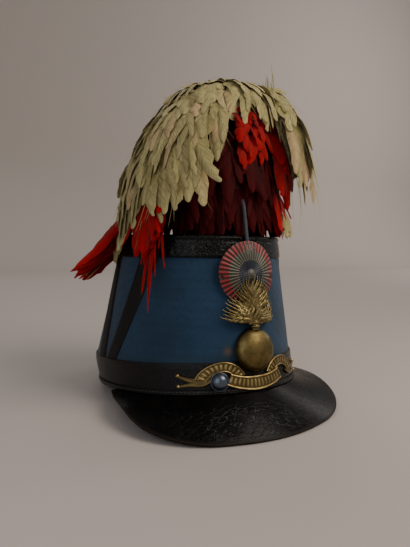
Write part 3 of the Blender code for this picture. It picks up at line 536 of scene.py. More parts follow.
make_band("base_band_leather", 0.0, BELLY_SHARE, GAP, BAND_THICKNESS, TOOLED_LINES, BAND_LEATHER,
          "base_band")
make_band("top_band_leather", BAND_LOW, 1.0, GAP, BAND_THICKNESS, ROLLED_LIP, TOP_LEATHER, "top_band")
make_band("base_welt_leather", 0.0, WELT_HEIGHT / BODY_HEIGHT, OVER_BAND, WELT_THICKNESS, (), BAND_LEATHER,
          "base_welt")

# %% Make the leather top
SAG = 0.0012


def make_top():
    """Rings of the wall's oval shrunk to the middle; the upper face sags as a bowl."""
    radius = np.linspace(0.0, 1.0, 26)[1:, None, None]
    top = wall_points(ANGLES, 1.0 - TOP_SINK / BODY_HEIGHT, 0.0)
    under = wall_points(ANGLES, TOP_UNDER, 0.0)
    middle, low_middle = top.mean(axis=0), under.mean(axis=0)
    upper = middle + radius * (top - middle)
    upper[..., 2] -= SAG * (1.0 - radius[..., 0] ** 2)
    lower = low_middle + radius * (under - low_middle)
    poles = [np.broadcast_to(pole, (1, ROUND, 3)) for pole in (middle - [0, 0, SAG], low_middle)]
    rings = np.concatenate([poles[0], upper, lower[::-1], poles[1]])
    wear = np.concatenate([[0.0], radius[:, 0, 0] ** 12, np.zeros(len(lower) + 1)])[:, None] + 0 * ANGLES
    return make_piece("top_leather", rings, grid_faces(len(rings), ROUND, False, True), [BAND_LEATHER],
                      ["top_disc"], values={"wear": 0.5 * wear})


make_top()

# %% [markdown]
# ## The side straps
# Two legs of a V stiffen each side. Each leg is a strip whose middle line is straight on the
# unrolled wall, so its angle changes evenly on the way up; width and rounded edges come from the
# second parameter.

# %% Lay the four legs
STRAP_THICKNESS = 0.0012
STRAP_WIDTHS = (0.0120, 0.0165)
STRAP_LEGS = {"front": (-81.5, -64.0), "rear": (-93.0, -103.0)}


def make_strap(side, leg):
    """Rows across the strap and columns up it, as a slab between two distances out."""
    low, high = BELLY_SHARE + 2 * GAP / BODY_HEIGHT, BAND_LOW - 2 * GAP / BODY_HEIGHT
    way = np.linspace(0.0, 1.0, 60)[None, :]
    place = eased(15)[:, None]
    share = low + (high - low) * way
    radius = BELLY_HALF[1] + (TOP_HALF[1] - BELLY_HALF[1]) * way
    width = STRAP_WIDTHS[0] + (STRAP_WIDTHS[1] - STRAP_WIDTHS[0]) * way
    start, end = (math.radians(value) for value in STRAP_LEGS[leg])
    angle = start + (end - start) * way + (place - 0.5) * width / radius
    rise = 0.3 + 0.7 * rounded(place, 0.12) - 0.12 * bell(np.abs(place - 0.5), 0.40, 0.02)
    outside = wall_points(side * angle, share, GAP + STRAP_THICKNESS * rise)
    inside = wall_points(side * angle, share, GAP)
    points, faces = slab(outside, inside)
    wear = np.broadcast_to(1.0 - rounded(place, 0.06), angle.shape)
    word = "right" if side > 0 else "left"
    return make_piece(f"strap_{word}_{leg}_leather", points, faces, [STRAP_LEATHER],
                      [f"strap_{word}_{leg}"], values={"wear": 0.6 * np.concatenate([wear, 0 * wear])})


for leg in STRAP_LEGS:
    for side in (1, -1):
        make_strap(side, leg)

# %% [markdown]
# ## The visor
# The visor is one piece of thick leather, wetted and pressed so that it droops most in front. It
# is made as lines that leave the rim and fall to a curved edge, then given its thickness and a
# rounded rim by modifiers, which is quicker than lofting its edge by hand.

# %% Droop the visor from the rim
VISOR_SPAN = math.radians(81.5)
VISOR_WIDTH = 0.0412
VISOR_DROOP = math.radians(42.0)
VISOR_THICKNESS = 0.0022
VISOR_CROWN = 0.0012
VISOR_SHARES = {"span": [0.0, 0.2, 0.4, 0.6, 0.8, 0.92, 1.0],
                "width": [1.0, 1.01, 1.05, 0.92, 0.51, 0.29, 0.13],
                "droop": [1.0, 0.95, 0.80, 0.54, 0.17, 0.05, 0.0]}
CREASE_MIDDLE, CREASE_WIDTH, CREASE_DEPTH = -0.16, 0.26, 0.55


def smooth_column(keys, values, at):
    """Reads a table smoothly: cubic pieces whose slopes are those of the neighbouring rows."""
    keys, values = np.array(keys), np.array(values)
    slopes = np.gradient(values, keys)
    slopes[0] = 0.0
    i = np.clip(np.searchsorted(keys, at, side="right") - 1, 0, len(keys) - 2)
    gap = keys[i + 1] - keys[i]
    t = (at - keys[i]) / gap
    first = values[i] * (1 + 2 * t) * (1 - t) ** 2 + slopes[i] * gap * t * (1 - t) ** 2
    return first + values[i + 1] * t * t * (3 - 2 * t) + slopes[i + 1] * gap * t * t * (t - 1)


def make_visor():
    """A flange of two rows against the rim, then rows out to the edge that fall as they widen."""
    span = np.linspace(-1.0, 1.0, 181)
    way = np.linspace(0.0, 1.0, 34)[:, None]
    width, droop = (full * smooth_column(VISOR_SHARES["span"], VISOR_SHARES[key], np.abs(span))
                    for key, full in (("width", VISOR_WIDTH), ("droop", VISOR_DROOP)))
    angle = span * VISOR_SPAN
    outward = unit(np.stack([np.sin(angle) / RIM_HALF[1], -np.cos(angle) / RIM_HALF[0]], axis=-1))
    flange_in, flange_out = -WALL_THICKNESS + GAP, OVER_BAND + WELT_THICKNESS
    flange = np.zeros((2, len(span)))
    out = np.concatenate([flange + [[flange_in], [0.5 * (flange_in + flange_out)]],
                          flange_out + (width * np.cos(droop) - flange_out) * way])
    lift = VISOR_CROWN * np.sin(way * math.pi) * width / VISOR_WIDTH
    drop = np.concatenate([flange, width * np.sin(droop) * way - lift])
    points = np.zeros((*out.shape, 3))
    points[..., :2] = wall_points(angle, 0.0, 0.0)[:, :2] + outward * out[..., None]
    points[..., 2] = -GAP - drop
    worn = faded(way, 0.955, 0.985) + 0 * span
    # The creased patch deepens the cracks and carries the painted highlights on them.
    creased = CREASE_DEPTH * bell(span, CREASE_MIDDLE, CREASE_WIDTH)
    creased = creased * faded(way, 0.22, 0.42) * faded(way, 0.97, 0.87)
    values = {"wear": np.concatenate([flange, worn]), "creased": np.concatenate([flange, creased])}
    visor = make_piece("visor_leather", points, grid_faces(*out.shape)[:, ::-1], [VISOR_LEATHER],
                       ["visor"], values=values, closed=False)
    wall = visor.modifiers.new("Leather", "SOLIDIFY")
    wall.thickness = VISOR_THICKNESS
    wall.offset = -1.0
    wall.use_even_offset = True
    edge = visor.modifiers.new("Worn edge", "BEVEL")
    edge.width = 0.0006
    edge.segments = 3
    edge.limit_method = "ANGLE"
    edge.angle_limit = math.radians(50)
    return visor


visor = make_visor()
print("the visor's middle faces up:", visor.data.polygons[len(visor.data.polygons) // 2].normal.z > 0)

# %% [markdown]
# ## Tubes and turned forms on the wall
# Strands, wires and stitches are all tubes along lines, and domes are profiles turned about a
# direction straight out of the wall. Making many tubes at once as one array costs no more than
# making one.

# %% Tubes along lines, and a place that faces out of the wall


def many(count, faces, points_each):
    """The same faces for each of many equal grids, moved on by a grid's number of points."""
    return (np.arange(count)[:, None, None] * points_each + faces).reshape(-1, faces.shape[1])


def tubes(lines, normals, radii, sides):
    """Rings round each line in the plane of its side and normal; a radius of nothing closes an end."""
    along = unit(np.gradient(lines, axis=1))
    side = unit(np.cross(along, normals))
    upward = np.cross(side, along)
    turn = circle(sides)[:, None]
    ring = np.cos(turn) * side[:, :, None] + np.sin(turn) * upward[:, :, None]
    points = lines[:, :, None] + radii[..., None, None] * ring
    count, steps = lines.shape[:2]
    return points.reshape(-1, 3), many(count, grid_faces(steps, sides, False, True), steps * sides)


def joined(parts):
    """Several (points, faces) pairs as one pair, each part's faces moved on past the points before."""
    starts = np.cumsum([0] + [len(points) for points, _ in parts[:-1]])
    faces = [part[1] + start for part, start in zip(parts, starts)]
    return np.concatenate([part[0] for part in parts]), np.concatenate(faces)


def facing(across, height, out):
    """A place off the wall and its unit directions sideways, upwards and outwards."""
    angle, share = wall_place(across, height)
    outward = wall_normal(angle, share)
    side = unit(wall_surface(angle + STEP, share) - wall_surface(angle - STEP, share))
    return wall_points(angle, share, out), side, np.cross(outward, side), outward


def turned_out(place, radius, rise, steps):
    """A profile of radii and heights turned about the outward direction at a place."""
    origin, side, upward, outward = place
    turn = circle(steps)[:, None]
    ring = np.cos(turn) * side + np.sin(turn) * upward
    points = origin + radius[:, None, None] * ring + rise[:, None, None] * outward
    return points, grid_faces(len(radius), steps, False, True)


# %% [markdown]
# ## Stitches along the welt
# Waxed linen thread holds the welt and the visor to the body. Each stitch is a short bead of
# thread that sinks into the leather at both ends. A few dozen faces a stitch is plenty, because
# there are hundreds of them.

# %% Sew the welt
THREAD_FINISH, _, thread_shader = new_finish("waxed_linen_thread", Roughness=0.6)
thread_shader.inputs["Base Color"].default_value = linear("#3a342c")
STITCH_LENGTH, STITCH_PITCH, THREAD_RADIUS = 0.0022, 0.0032, 0.00032


def make_stitches():
    """Stitches evenly spaced along the welt, each a bead along seven points."""
    share, out = 0.62 * WELT_HEIGHT / BODY_HEIGHT, OVER_BAND + WELT_THICKNESS
    angle = np.linspace(-math.pi, math.pi, 2000)
    run = run_along(wall_points(angle, share, out))
    middles = np.arange(STITCH_PITCH / 2, run[-1], STITCH_PITCH)
    way = np.linspace(-0.5, 0.5, 7)
    at = np.interp(middles[:, None] + way * STITCH_LENGTH, run, angle)
    bead = np.sqrt(1.0 - (2 * way) ** 2)
    lines = wall_points(at, share, out + THREAD_RADIUS * (bead - 0.6))
    points, faces = tubes(lines, wall_normal(at, share), THREAD_RADIUS * bead + 0 * at, 6)
    return make_piece("welt_stitches", points, faces, [THREAD_FINISH])


make_stitches()

# %% [markdown]
# ## Painted tin
# The cockade was pressed from thin tinplate and painted in rings while it spun. Its paint is
# drawn lighter on every crest as painted highlight and darker in every groove as painted shade
# with some dirt, and it has worn through to grey metal where it was rubbed. Values per point, the
# place between centre and edge and the height between groove and crest, carry most of that.

# %% Make the painted tin
def make_tin():
    """Ring colours by radius for shaded grooves and lit crests, mixed by crest; noise chips the paint."""
    finish, tree, shader = new_finish("painted_pressed_tin", Roughness=0.42, Metallic=0.15)
    place = add(tree, "ShaderNodeTexCoord").outputs["Object"]
    chips = add(tree, "ShaderNodeTexNoise", values={"Scale": per_mm(1.6), "Detail": 4.0, "Roughness": 0.7},
                links={"Vector": place})
    ring = add(tree, "ShaderNodeAttribute", {"attribute_name": "ring"})
    crest = add(tree, "ShaderNodeAttribute", {"attribute_name": "crest"})
    worn = add(tree, "ShaderNodeAttribute", {"attribute_name": "worn"})
    ragged = add(tree, "ShaderNodeMath", {"operation": "MULTIPLY_ADD"}, {1: 0.03},
                 {0: chips.outputs["Fac"], 2: ring.outputs["Fac"]})
    # Painted shade and highlight: the groove colours are dark, with some dirt, and the crest colours are
    # light.
    low = add(tree, "ShaderNodeValToRGB", links={"Fac": ragged.outputs[0]}, stops=[
        (0.0, linear("#403d37")), (0.16, linear("#0d121c")),
        (0.43, linear("#1a1916")), (0.735, linear("#1e0c0b"))])
    high = add(tree, "ShaderNodeValToRGB", links={"Fac": ragged.outputs[0]}, stops=[
        (0.0, linear("#56534b")), (0.16, linear("#222935")),
        (0.43, linear("#65614f")), (0.735, linear("#94231e"))])
    for ramp in (low, high):
        ramp.color_ramp.interpolation = "CONSTANT"
    paint = add(tree, "ShaderNodeMix", {"data_type": "RGBA"}, links={
        0: crest.outputs["Fac"], 6: low.outputs[0], 7: high.outputs[0]})
    bare = add(tree, "ShaderNodeMath", {"operation": "MULTIPLY_ADD"}, {1: 1.1},
               {0: chips.outputs["Fac"], 2: worn.outputs["Fac"]})
    chipped = add(tree, "ShaderNodeMapRange", values={1: 0.80, 2: 0.95, 3: 0.0, 4: 1.0},
                  links={0: bare.outputs[0]})
    colour = add(tree, "ShaderNodeMix", {"data_type": "RGBA"}, {7: linear("#5d5850")},
                 {0: chipped.outputs[0], 6: paint.outputs[2]})
    tree.links.new(colour.outputs[2], shader.inputs["Base Color"])
    bump = add(tree, "ShaderNodeBump", values={"Strength": 0.3, "Distance": 0.0002},
               links={"Height": chips.outputs["Fac"]})
    tree.links.new(bump.outputs[0], shader.inputs["Normal"])
    return finish


TIN = make_tin()
print("finish:", TIN.name)

# %% Press the cockade
BADGE_ACROSS = -0.0015
COCKADE_RADIUS, COCKADE_HEIGHT, COCKADE_BENT = 0.0256, 0.0876, 0.91
COCKADE_THICKNESS, COCKADE_DISH = 0.0008, 0.0034
COCKADE_RIBS, COCKADE_RIB_DEPTH, COCKADE_BOSS_HEIGHT = 42, 0.0007, 0.0011
STEM_RADIUS = 0.0017
HOLE_OUT, HOLE_DROP, HOLE_RADIUS, HOLE_DEPTH = 0.83, 0.0020, 0.0014, 0.0010


def cockade_back(across, height):
    """Distance of the back from the wall: a lift that grows upwards plus a dish round the middle."""
    rise = (height - COCKADE_HEIGHT) / COCKADE_RADIUS
    foot, head = 2 * GAP, OVER_BAND + GAP + 2 * STEM_RADIUS + COCKADE_RIB_DEPTH
    reach = np.hypot(across - BADGE_ACROSS, height - COCKADE_HEIGHT) / COCKADE_RADIUS
    lift = foot + (head - foot) * faded(rise, -1.0, 1.0)
    return lift + COCKADE_DISH * (1.0 - np.clip(reach, 0.0, 1.0) ** 2)


def make_cockade():
    """Rings from the boss to the edge and back: flutes are a raised cosine round each ring."""
    turn = circle(COCKADE_RIBS * 12)
    front = np.linspace(0.0, 1.0, 60)[:, None]
    crest = (0.5 + 0.5 * np.cos(COCKADE_RIBS * turn)) ** 1.3 + 0 * front
    crest = np.where(front > 0.13, crest, 0.6)
    depth = np.interp(front, [0.0, 0.13, 0.22, 0.43, 0.72, 0.96, 1.0], [0, 0, 0.35, 0.65, 0.95, 1.0, 0.7])
    boss = bell(front, 0.0, 0.10, 4) + 0.25 * bell(front, 0.13, 0.015)
    across = COCKADE_BENT * COCKADE_RADIUS * front * np.sin(turn)
    height = COCKADE_RADIUS * front * np.cos(turn)
    hole = HOLE_OUT * COCKADE_RADIUS
    holes = sum(bell(np.hypot(across - at, height + HOLE_DROP), 0.0, HOLE_RADIUS, 4) for at in (-hole, hole))
    out = cockade_back(across + BADGE_ACROSS, height + COCKADE_HEIGHT) + COCKADE_THICKNESS
    out = out + COCKADE_RIB_DEPTH * depth * crest + COCKADE_BOSS_HEIGHT * boss - HOLE_DEPTH * holes
    back = np.linspace(1.0, 0.0, 10)[:, None]
    back_across, back_height = back * across[-1], back * height[-1]
    back_out = cockade_back(back_across + BADGE_ACROSS, back_height + COCKADE_HEIGHT)
    rows = [np.concatenate(pair) for pair in ((across, back_across), (height, back_height), (out, back_out))]
    points = wall_spot(rows[0] + BADGE_ACROSS, rows[1] + COCKADE_HEIGHT, rows[2])
    worn = 0.42 * bell(np.hypot(across, height - 0.020), 0.0, 0.007)
    zero = 0 * back_across
    # The crest value makes crests light as painted highlight, and grooves and holes dark as painted shade.
    values = {"ring": np.concatenate([front + 0 * across, zero]),
              "crest": np.concatenate([crest * (1 - holes), zero]), "worn": np.concatenate([worn, zero])}
    return make_piece("cockade_tin", points, grid_faces(len(points), len(turn), False, True), [TIN],
                      ["cockade"], values=values)


make_cockade()

# %% [markdown]
# ## Old brass
# The grenade and its ribbon were cast in brass, and a century of air has turned them a brown gold.
# Raised places stay bright because hands polish them, and hollows go nearly black. A metal's
# colour is in its reflection, so the tone varies and the roughness with it.

# %% Make the brass


def make_brass(name, bright, dull, rough):
    """Slow noise between two tones, darkened by a cavity value, with fine casting grain."""
    finish, tree, shader = new_finish(name, Metallic=1.0)
    place = add(tree, "ShaderNodeTexCoord").outputs["Object"]
    cloud = add(tree, "ShaderNodeTexNoise", values={"Scale": per_mm(7), "Detail": 5.0, "Roughness": 0.65},
                links={"Vector": place})
    grain = add(tree, "ShaderNodeTexNoise", values={"Scale": per_mm(0.8), "Detail": 2.0},
                links={"Vector": place})
    tone = add(tree, "ShaderNodeValToRGB", links={"Fac": cloud.outputs["Fac"]}, stops=[
        (0.32, linear(dull)), (0.68, linear(bright))])
    cavity = add(tree, "ShaderNodeAttribute", {"attribute_name": "cavity"})
    dark = add(tree, "ShaderNodeMix", {"data_type": "RGBA"}, {7: linear("#1d150c")},
               {0: cavity.outputs["Fac"], 6: tone.outputs[0]})
    tree.links.new(dark.outputs[2], shader.inputs["Base Color"])
    polish = add(tree, "ShaderNodeMapRange", values={1: 0.3, 2: 0.7, 3: rough + 0.12, 4: rough},
                 links={0: cloud.outputs["Fac"]})
    tree.links.new(polish.outputs[0], shader.inputs["Roughness"])
    bump = add(tree, "ShaderNodeBump", values={"Strength": 0.25, "Distance": 0.0002},
               links={"Height": grain.outputs["Fac"]})
    tree.links.new(bump.outputs[0], shader.inputs["Normal"])
    return finish


BALL_BRASS = make_brass("tarnished_cast_brass", "#806f44", "#574a2d", 0.36)
FLAME_BRASS = make_brass("combed_cast_brass", "#94855a", "#6b5c3a", 0.34)
RIBBON_BRASS = make_brass("rubbed_cast_brass", "#c2ac74", "#8d7548", 0.32)

# %% [markdown]
# ## The grenade
# Ball, collar and flames were one casting, and here they are one piece. The ball is a turned dome,
# a little dented. The flames are tapering strands in three layers, each starting at the collar
# and waving out to a row of tips that gives the fan its outline.

# %% Turn the ball, ring the collar and grow the flames
BALL_RADIUS, BALL_DEPTH, BALL_HEIGHT = 0.0168, 0.0098, 0.0299
NECK_RADIUS, NECK_HEIGHT = 0.0042, 0.0490
FLAME_HEIGHT, FLAME_SPREAD = 0.0390, 0.0245
BALL_ROWS, BALL_SIDES, DENT = 44, 96, 0.00012
COLLAR_FOOT, COLLAR_TOP = BALL_HEIGHT + 0.86 * BALL_RADIUS, NECK_HEIGHT + 0.0034
FLAME_SIDES = 8
FLAME_TIPS = {"across": [-1.06, -0.90, -0.72, -0.50, -0.26, 0.02, 0.27, 0.50, 0.66, 0.80, 0.84],
              "rise": [0.20, 0.42, 0.62, 0.80, 0.93, 1.00, 0.92, 0.76, 0.58, 0.36, 0.16]}
FLAME_LAYERS = [
    {"count": 33, "reach": 1.00, "lift": 0.0008, "radius": 0.00165},
    {"count": 24, "reach": 0.86, "lift": 0.0020, "radius": 0.00150},
    {"count": 15, "reach": 0.66, "lift": 0.0031, "radius": 0.00140},
]


def make_ball():
    """A quarter turn of an oval profile with slow dents, closed at the back."""
    turn = np.linspace(0.0, 0.46 * math.pi, BALL_ROWS)
    radius = np.concatenate([BALL_RADIUS * np.sin(turn), [BALL_RADIUS, BALL_RADIUS, 0.0]])
    rise = np.concatenate([BALL_DEPTH * np.cos(turn), [BALL_DEPTH * 0.08, 0.0, 0.0]])
    place = facing(BADGE_ACROSS, BALL_HEIGHT, OVER_BAND)
    points, faces = turned_out(place, radius, rise, BALL_SIDES)
    dent = DENT * np.sin(2 * circle(BALL_SIDES) + 9 * turn[:, None]) * np.sin(turn[:, None]) ** 2
    points[:BALL_ROWS] -= dent[..., None] * place[3]
    right, up = ((points - place[0]) @ way / BALL_RADIUS for way in place[1:3])
    # A darker patch on the upper right of the ball, and darkening towards its rim, go into the cavity value.
    dark_patch = 0.85 * bell(right, 0.80, 0.16) * bell(up, 0.38, 0.16)
    edge = 0.55 * faded(np.hypot(right, up), 0.86, 1.0)
    return (points.reshape(-1, 3), faces), np.clip(dark_patch + edge, 0, 1).ravel()


def make_collar():
    """Rings on a short tube from the ball to the flames: two bulges along its radius."""
    way = np.linspace(0.0, 1.0, 30)
    height = COLLAR_FOOT + way * (COLLAR_TOP - COLLAR_FOOT)
    bulge = 0.72 + 0.28 * bell(way, 0.42, 0.11) + 0.22 * bell(way, 0.78, 0.10)
    radius = NECK_RADIUS * bulge * np.where((way == 0) | (way == 1), 0.0, 1.0)
    angle, share = wall_place(BADGE_ACROSS, height)
    lines = wall_points(angle, share, OVER_BAND + 0.9 * NECK_RADIUS)
    points, faces = tubes(lines[None], wall_normal(angle, share)[None], radius[None], 24)
    return (points, faces), np.repeat(0.5 - 0.5 * faded(bulge, 0.72, 0.92), 24)


def make_flame_layer(layer, number):
    """Strands from the collar to a smooth row of tips, with a wave that dies at both ends."""
    count = layer["count"]
    seeds = np.random.default_rng(20 + number)
    f = np.linspace(0.0, 1.0, count)[:, None]
    keys = np.linspace(0.0, 1.0, len(FLAME_TIPS["across"]))
    length = layer["reach"] * (1.0 - 0.14 * seeds.random((count, 1)) * (np.arange(count)[:, None] % 2))
    tip = np.interp(f, keys, FLAME_TIPS["across"]) * length
    rise = np.interp(f, keys, FLAME_TIPS["rise"]) * length
    t = np.linspace(0.0, 1.0, 30)[None, :]
    lean = np.where(tip < 0, -1.0, 1.0)
    wave = 0.080 * np.sin(t * 3.2 * math.pi + 0.5 * lean + 2.1 * f * math.pi) * np.sin(t * math.pi) ** 0.7
    across = BADGE_ACROSS + FLAME_SPREAD * (0.34 * (f - 0.5) * (1 - t) + tip * t ** 1.25 + wave)
    height = NECK_HEIGHT + FLAME_HEIGHT * rise * t ** 0.85
    height = height + FLAME_HEIGHT * 0.05 * np.abs(tip) * np.sin(t * 2 * math.pi)
    radius = layer["radius"] * (0.55 + 0.75 * np.sin(np.clip(t * 1.15, 0, 1) * math.pi) ** 0.8)
    radius = radius * (1.0 - 0.75 * t ** 3) * np.where((t == 0) | (t == 1), 0.0, 1.0) + 0 * f
    clear = cockade_back(across, height) + COCKADE_THICKNESS + COCKADE_RIB_DEPTH
    out = np.maximum(clear, OVER_BAND + GAP) + layer["lift"] + layer["radius"]
    out = out + 0.0010 * np.sin(t * math.pi) * (np.arange(count)[:, None] % 2)
    angle, share = wall_place(across, height)
    points, faces = tubes(wall_points(angle, share, out), wall_normal(angle, share), radius, FLAME_SIDES)
    cavity = 0.5 - 0.5 * np.sin(circle(FLAME_SIDES)) + 0 * radius[..., None]
    return (points, faces), (cavity ** 1.6 * (1.0 - 0.28 * number)).ravel()


def make_grenade():
    """Ball, collar and flame layers as one piece; the ball has a brass of its own."""
    parts = [make_ball(), make_collar()]
    parts += [make_flame_layer(layer, number) for number, layer in enumerate(FLAME_LAYERS)]
    points, faces = joined([part[0] for part in parts])
    ball_faces = len(parts[0][0][1])
    which = (np.arange(len(faces)) >= ball_faces).astype(int)
    return make_piece("grenade_brass", points, faces, [BALL_BRASS, FLAME_BRASS], ["grenade"],
                      which, {"cavity": np.concatenate([part[1] for part in parts])})


make_grenade()

# %% [markdown]
# ## The ribbon
# A brass scroll runs under the ball: a low middle, an arch to each side and a forked tail. Its
# raised border was cast with it. The field has a plain row of pellets, a common filling for such
# scrolls. A strip is a line of places on the wall and a width across it, and relief is simply
# added to the distance out.

# %% Cast the ribbon
RIBBON_WIDTH, TAIL_WIDTH, RIBBON_REACH, RIBBON_RISE = 0.0112, 0.0074, 0.0525, 0.0212
RIBBON_THICKNESS, RIBBON_SAG, RIBBON_LOW = 0.0013, 0.0045, 0.52
PELLET_PITCH, PELLET_HEIGHT, BORDER_HEIGHT = 0.0031, 0.00055, 0.00050
FORK_WIDTHS, FORK_LIFT, KNOB_RADIUS = (0.0036, 0.0026, 0.0016), 0.0002, 0.0015
RIBBON_ROWS = {
    "middle": [(-0.42, 1.00), (-0.21, 0.22), (0.0, 0.0), (0.21, 0.22), (0.42, 1.00)],
    "arch": [(0.24, 0.62), (0.36, 1.00), (0.50, 1.10), (0.65, 0.95), (0.76, 0.58)],
    "tail": [(0.66, 0.72), (0.76, 0.52), (0.86, 0.54)],
    "upper fork": [(0.83, 0.60), (0.91, 0.66), (1.00, 0.80)],
    "lower fork": [(0.83, 0.46), (0.91, 0.42), (1.00, 0.36)],
}


def curve_through(places, count):
    """The one smooth polynomial that passes through three to five places, read evenly."""
    places = np.array(places)
    fits = np.polyfit(np.linspace(0.0, 1.0, len(places)), places, len(places) - 1)
    return np.stack([np.polyval(fit, np.linspace(0.0, 1.0, count)) for fit in fits.T], axis=-1)


def cast_strip(stretch, side, rise, foot, widths, lift, pellets):
    """One stretch: border ridges and pellets are bells added to a rounded strip's thickness."""
    places = [(side * a * RIBBON_REACH + BADGE_ACROSS, u * rise + foot) for a, u in RIBBON_ROWS[stretch]]
    line = curve_through(places, 110)
    step = unit(np.gradient(line, axis=0))
    run = run_along(line)
    width = np.interp(run / run[-1], np.linspace(0, 1, len(widths)), widths)
    u = (0.5 * np.sin(np.linspace(-math.pi / 2, math.pi / 2, 25)))[:, None]
    spots = line[None] + (u * width)[..., None] * np.stack([-step[:, 1], step[:, 0]], axis=-1)[None]
    border = bell(np.abs(u), 0.41, 0.045)
    pellet = bell((run / PELLET_PITCH) % 1.0, 0.5, 0.24) * bell(u, 0.0, 0.24, 4) * pellets
    edge = rounded(u + 0.5, 0.05)
    relief = BORDER_HEIGHT * border + PELLET_HEIGHT * pellet
    out = lift + RIBBON_THICKNESS * (0.35 + 0.40 * edge) + relief
    outside = wall_spot(spots[..., 0], spots[..., 1], out)
    inside = wall_spot(spots[..., 0], spots[..., 1], lift)
    field = np.clip(1.0 - border - pellet, 0, 1) * 0.75
    points, faces = slab(outside, inside)
    return (points, faces), np.concatenate([field.ravel(), 0 * field.ravel()])


def fork_knob(stretch, side, rise, radius, lift):
    """A small dome at the end of a fork, turned out of the wall."""
    across, up = RIBBON_ROWS[stretch][-1]
    turn = np.linspace(0.0, math.pi / 2, 8)
    profile = np.concatenate([radius * np.sin(turn), [radius, 0.0]])
    height = np.concatenate([radius * np.cos(turn) + 0.0008, [0.0, 0.0]])
    place = facing(side * across * RIBBON_REACH + BADGE_ACROSS, up * rise, lift)
    points, faces = turned_out(place, profile, height, 20)
    return (points.reshape(-1, 3), faces), np.zeros(len(points) * 20)


def make_ribbon():
    """The middle over the welt, then an arch, a tail and a fork with two knobs on each side."""
    rise = RIBBON_RISE - TAIL_WIDTH / 2
    parts = [cast_strip("middle", 1, RIBBON_SAG, RIBBON_LOW * RIBBON_WIDTH,
                        [RIBBON_WIDTH * 0.84, RIBBON_WIDTH, RIBBON_WIDTH * 0.84], OVER_WELT, 1.0)]
    for side in (-1, 1):
        parts.append(cast_strip("arch", side, rise, 0.0, [TAIL_WIDTH * 1.08] * 2, OVER_BAND, 1.0))
        parts.append(cast_strip("tail", side, rise, 0.0, [TAIL_WIDTH, TAIL_WIDTH * 0.80], OVER_BAND, 0.0))
        for fork in ("upper fork", "lower fork"):
            parts.append(cast_strip(fork, side, rise, 0.0, FORK_WIDTHS, OVER_BAND + FORK_LIFT, 0.0))
            parts.append(fork_knob(fork, side, rise, KNOB_RADIUS, OVER_BAND))
    points, faces = joined([(points, facing_out(points, faces)) for (points, faces), _ in parts])
    return make_piece("ribbon_brass", points, faces, [RIBBON_BRASS], ["ribbon"],
                      values={"cavity": np.concatenate([part[1] for part in parts])})


make_ribbon()

# %% [markdown]
# ## The button
# A domed button with a dark glossy face sits on the base band. A clear coat over dark metal gives
# the small sharp highlight of lacquer.

# %% Turn the button
BUTTON_RADIUS, BUTTON_DOME = 0.0070, 0.0042
BUTTON_ACROSS, BUTTON_HEIGHT = -0.0297, 0.0088
BUTTON_METAL, _, button_shader = new_finish("blued_lacquered_metal", Metallic=0.85, Roughness=0.30,
                                            Coat_Weight=0.6, Coat_Roughness=0.08)
button_shader.inputs["Base Color"].default_value = linear("#505a68")


def make_button():
    """A dome over a rolled rim, then in to the shank and down to the band."""
    lift = WELT_THICKNESS + GAP
    turn = np.linspace(0.0, math.pi / 2, 26)
    dome = 0.86 * BUTTON_RADIUS
    rim = np.linspace(math.pi, -math.pi / 2, 18)
    roll = 0.07 * BUTTON_RADIUS
    radius = np.concatenate([dome * np.sin(turn), BUTTON_RADIUS - roll + roll * np.cos(rim),
                             [0.55 * BUTTON_RADIUS, 0.55 * BUTTON_RADIUS, 0.0]])
    rise = np.concatenate([lift + 0.0010 + BUTTON_DOME * np.cos(turn), lift + roll + roll * np.sin(rim),
                           [lift, 0.0, 0.0]])
    points, faces = turned_out(facing(BUTTON_ACROSS, BUTTON_HEIGHT, OVER_BAND), radius, rise, 48)
    return make_piece("button_metal", points, faces, [BUTTON_METAL], ["button"])


make_button()

# %% [markdown]
# ## The stem
# The plume stands on a wire that is bound with dark thread. The binding is a fine spiral, made by
# letting the radius ripple along the tube.

# %% Bind the stem
STEM_FOOT_HEIGHT, STEM_LENGTH, STEM_LEAN = 0.1010, 0.0620, 0.35
BINDING_PITCH = 0.0013
STEM_FINISH, _, stem_shader = new_finish("thread_bound_wire", Roughness=0.55, Metallic=0.3)
stem_shader.inputs["Base Color"].default_value = linear("#3a3d42")


def stem_line():
    """Up the front of the band, straight on past its edge, then leaning back into the plume."""
    out = OVER_BAND + STEM_RADIUS
    foot = wall_spot(0.0, STEM_FOOT_HEIGHT, out)
    edge = wall_spot(0.0, BODY_HEIGHT - TOP_SLOPE, out)
    left = STEM_LENGTH - np.linalg.norm(edge - foot)
    middle = edge + unit(edge - foot) * left * 0.5
    back = unit(np.array([0.0, STEM_LEAN, 1.0]))
    return np.array([foot, edge, middle, middle + back * left * 0.5])


def make_stem():
    """A tube along the stem's line whose radius ripples once for each turn of the thread."""
    corners = stem_line()
    run = run_along(corners)
    at = np.linspace(0.0, run[-1], 380)
    line = np.stack([np.interp(at, run, corners[:, k]) for k in range(3)], axis=-1)
    ripple = 1.0 - 0.10 * (0.5 + 0.5 * np.cos(at / BINDING_PITCH * 2 * math.pi))
    radius = STEM_RADIUS * ripple
    radius[[0, -1]] = 0.0
    front = np.broadcast_to(np.array([0.0, -1.0, 0.0]), line.shape)
    points, faces = tubes(line[None], front[None], radius[None], 14)
    return make_piece("stem_bound_wire", points, faces, [STEM_FINISH], ["plume_stem"])


make_stem()

# %% [markdown]
# ## Feathers
# A feather is a shaft with two rows of barbs that slant forwards and hook together into a vane.
# Hair strands could draw each barb, but would neither export nor bend as a vane. Instead a
# feather is a thin closed leaf whose rows follow the barbs, with streaks along them in its
# finish. White feathers are cream with olive painted shade towards the root; the red ones were
# dyed, and those deep inside the plume get a nearly black copy as painted shade.

# %% Make the feather finishes


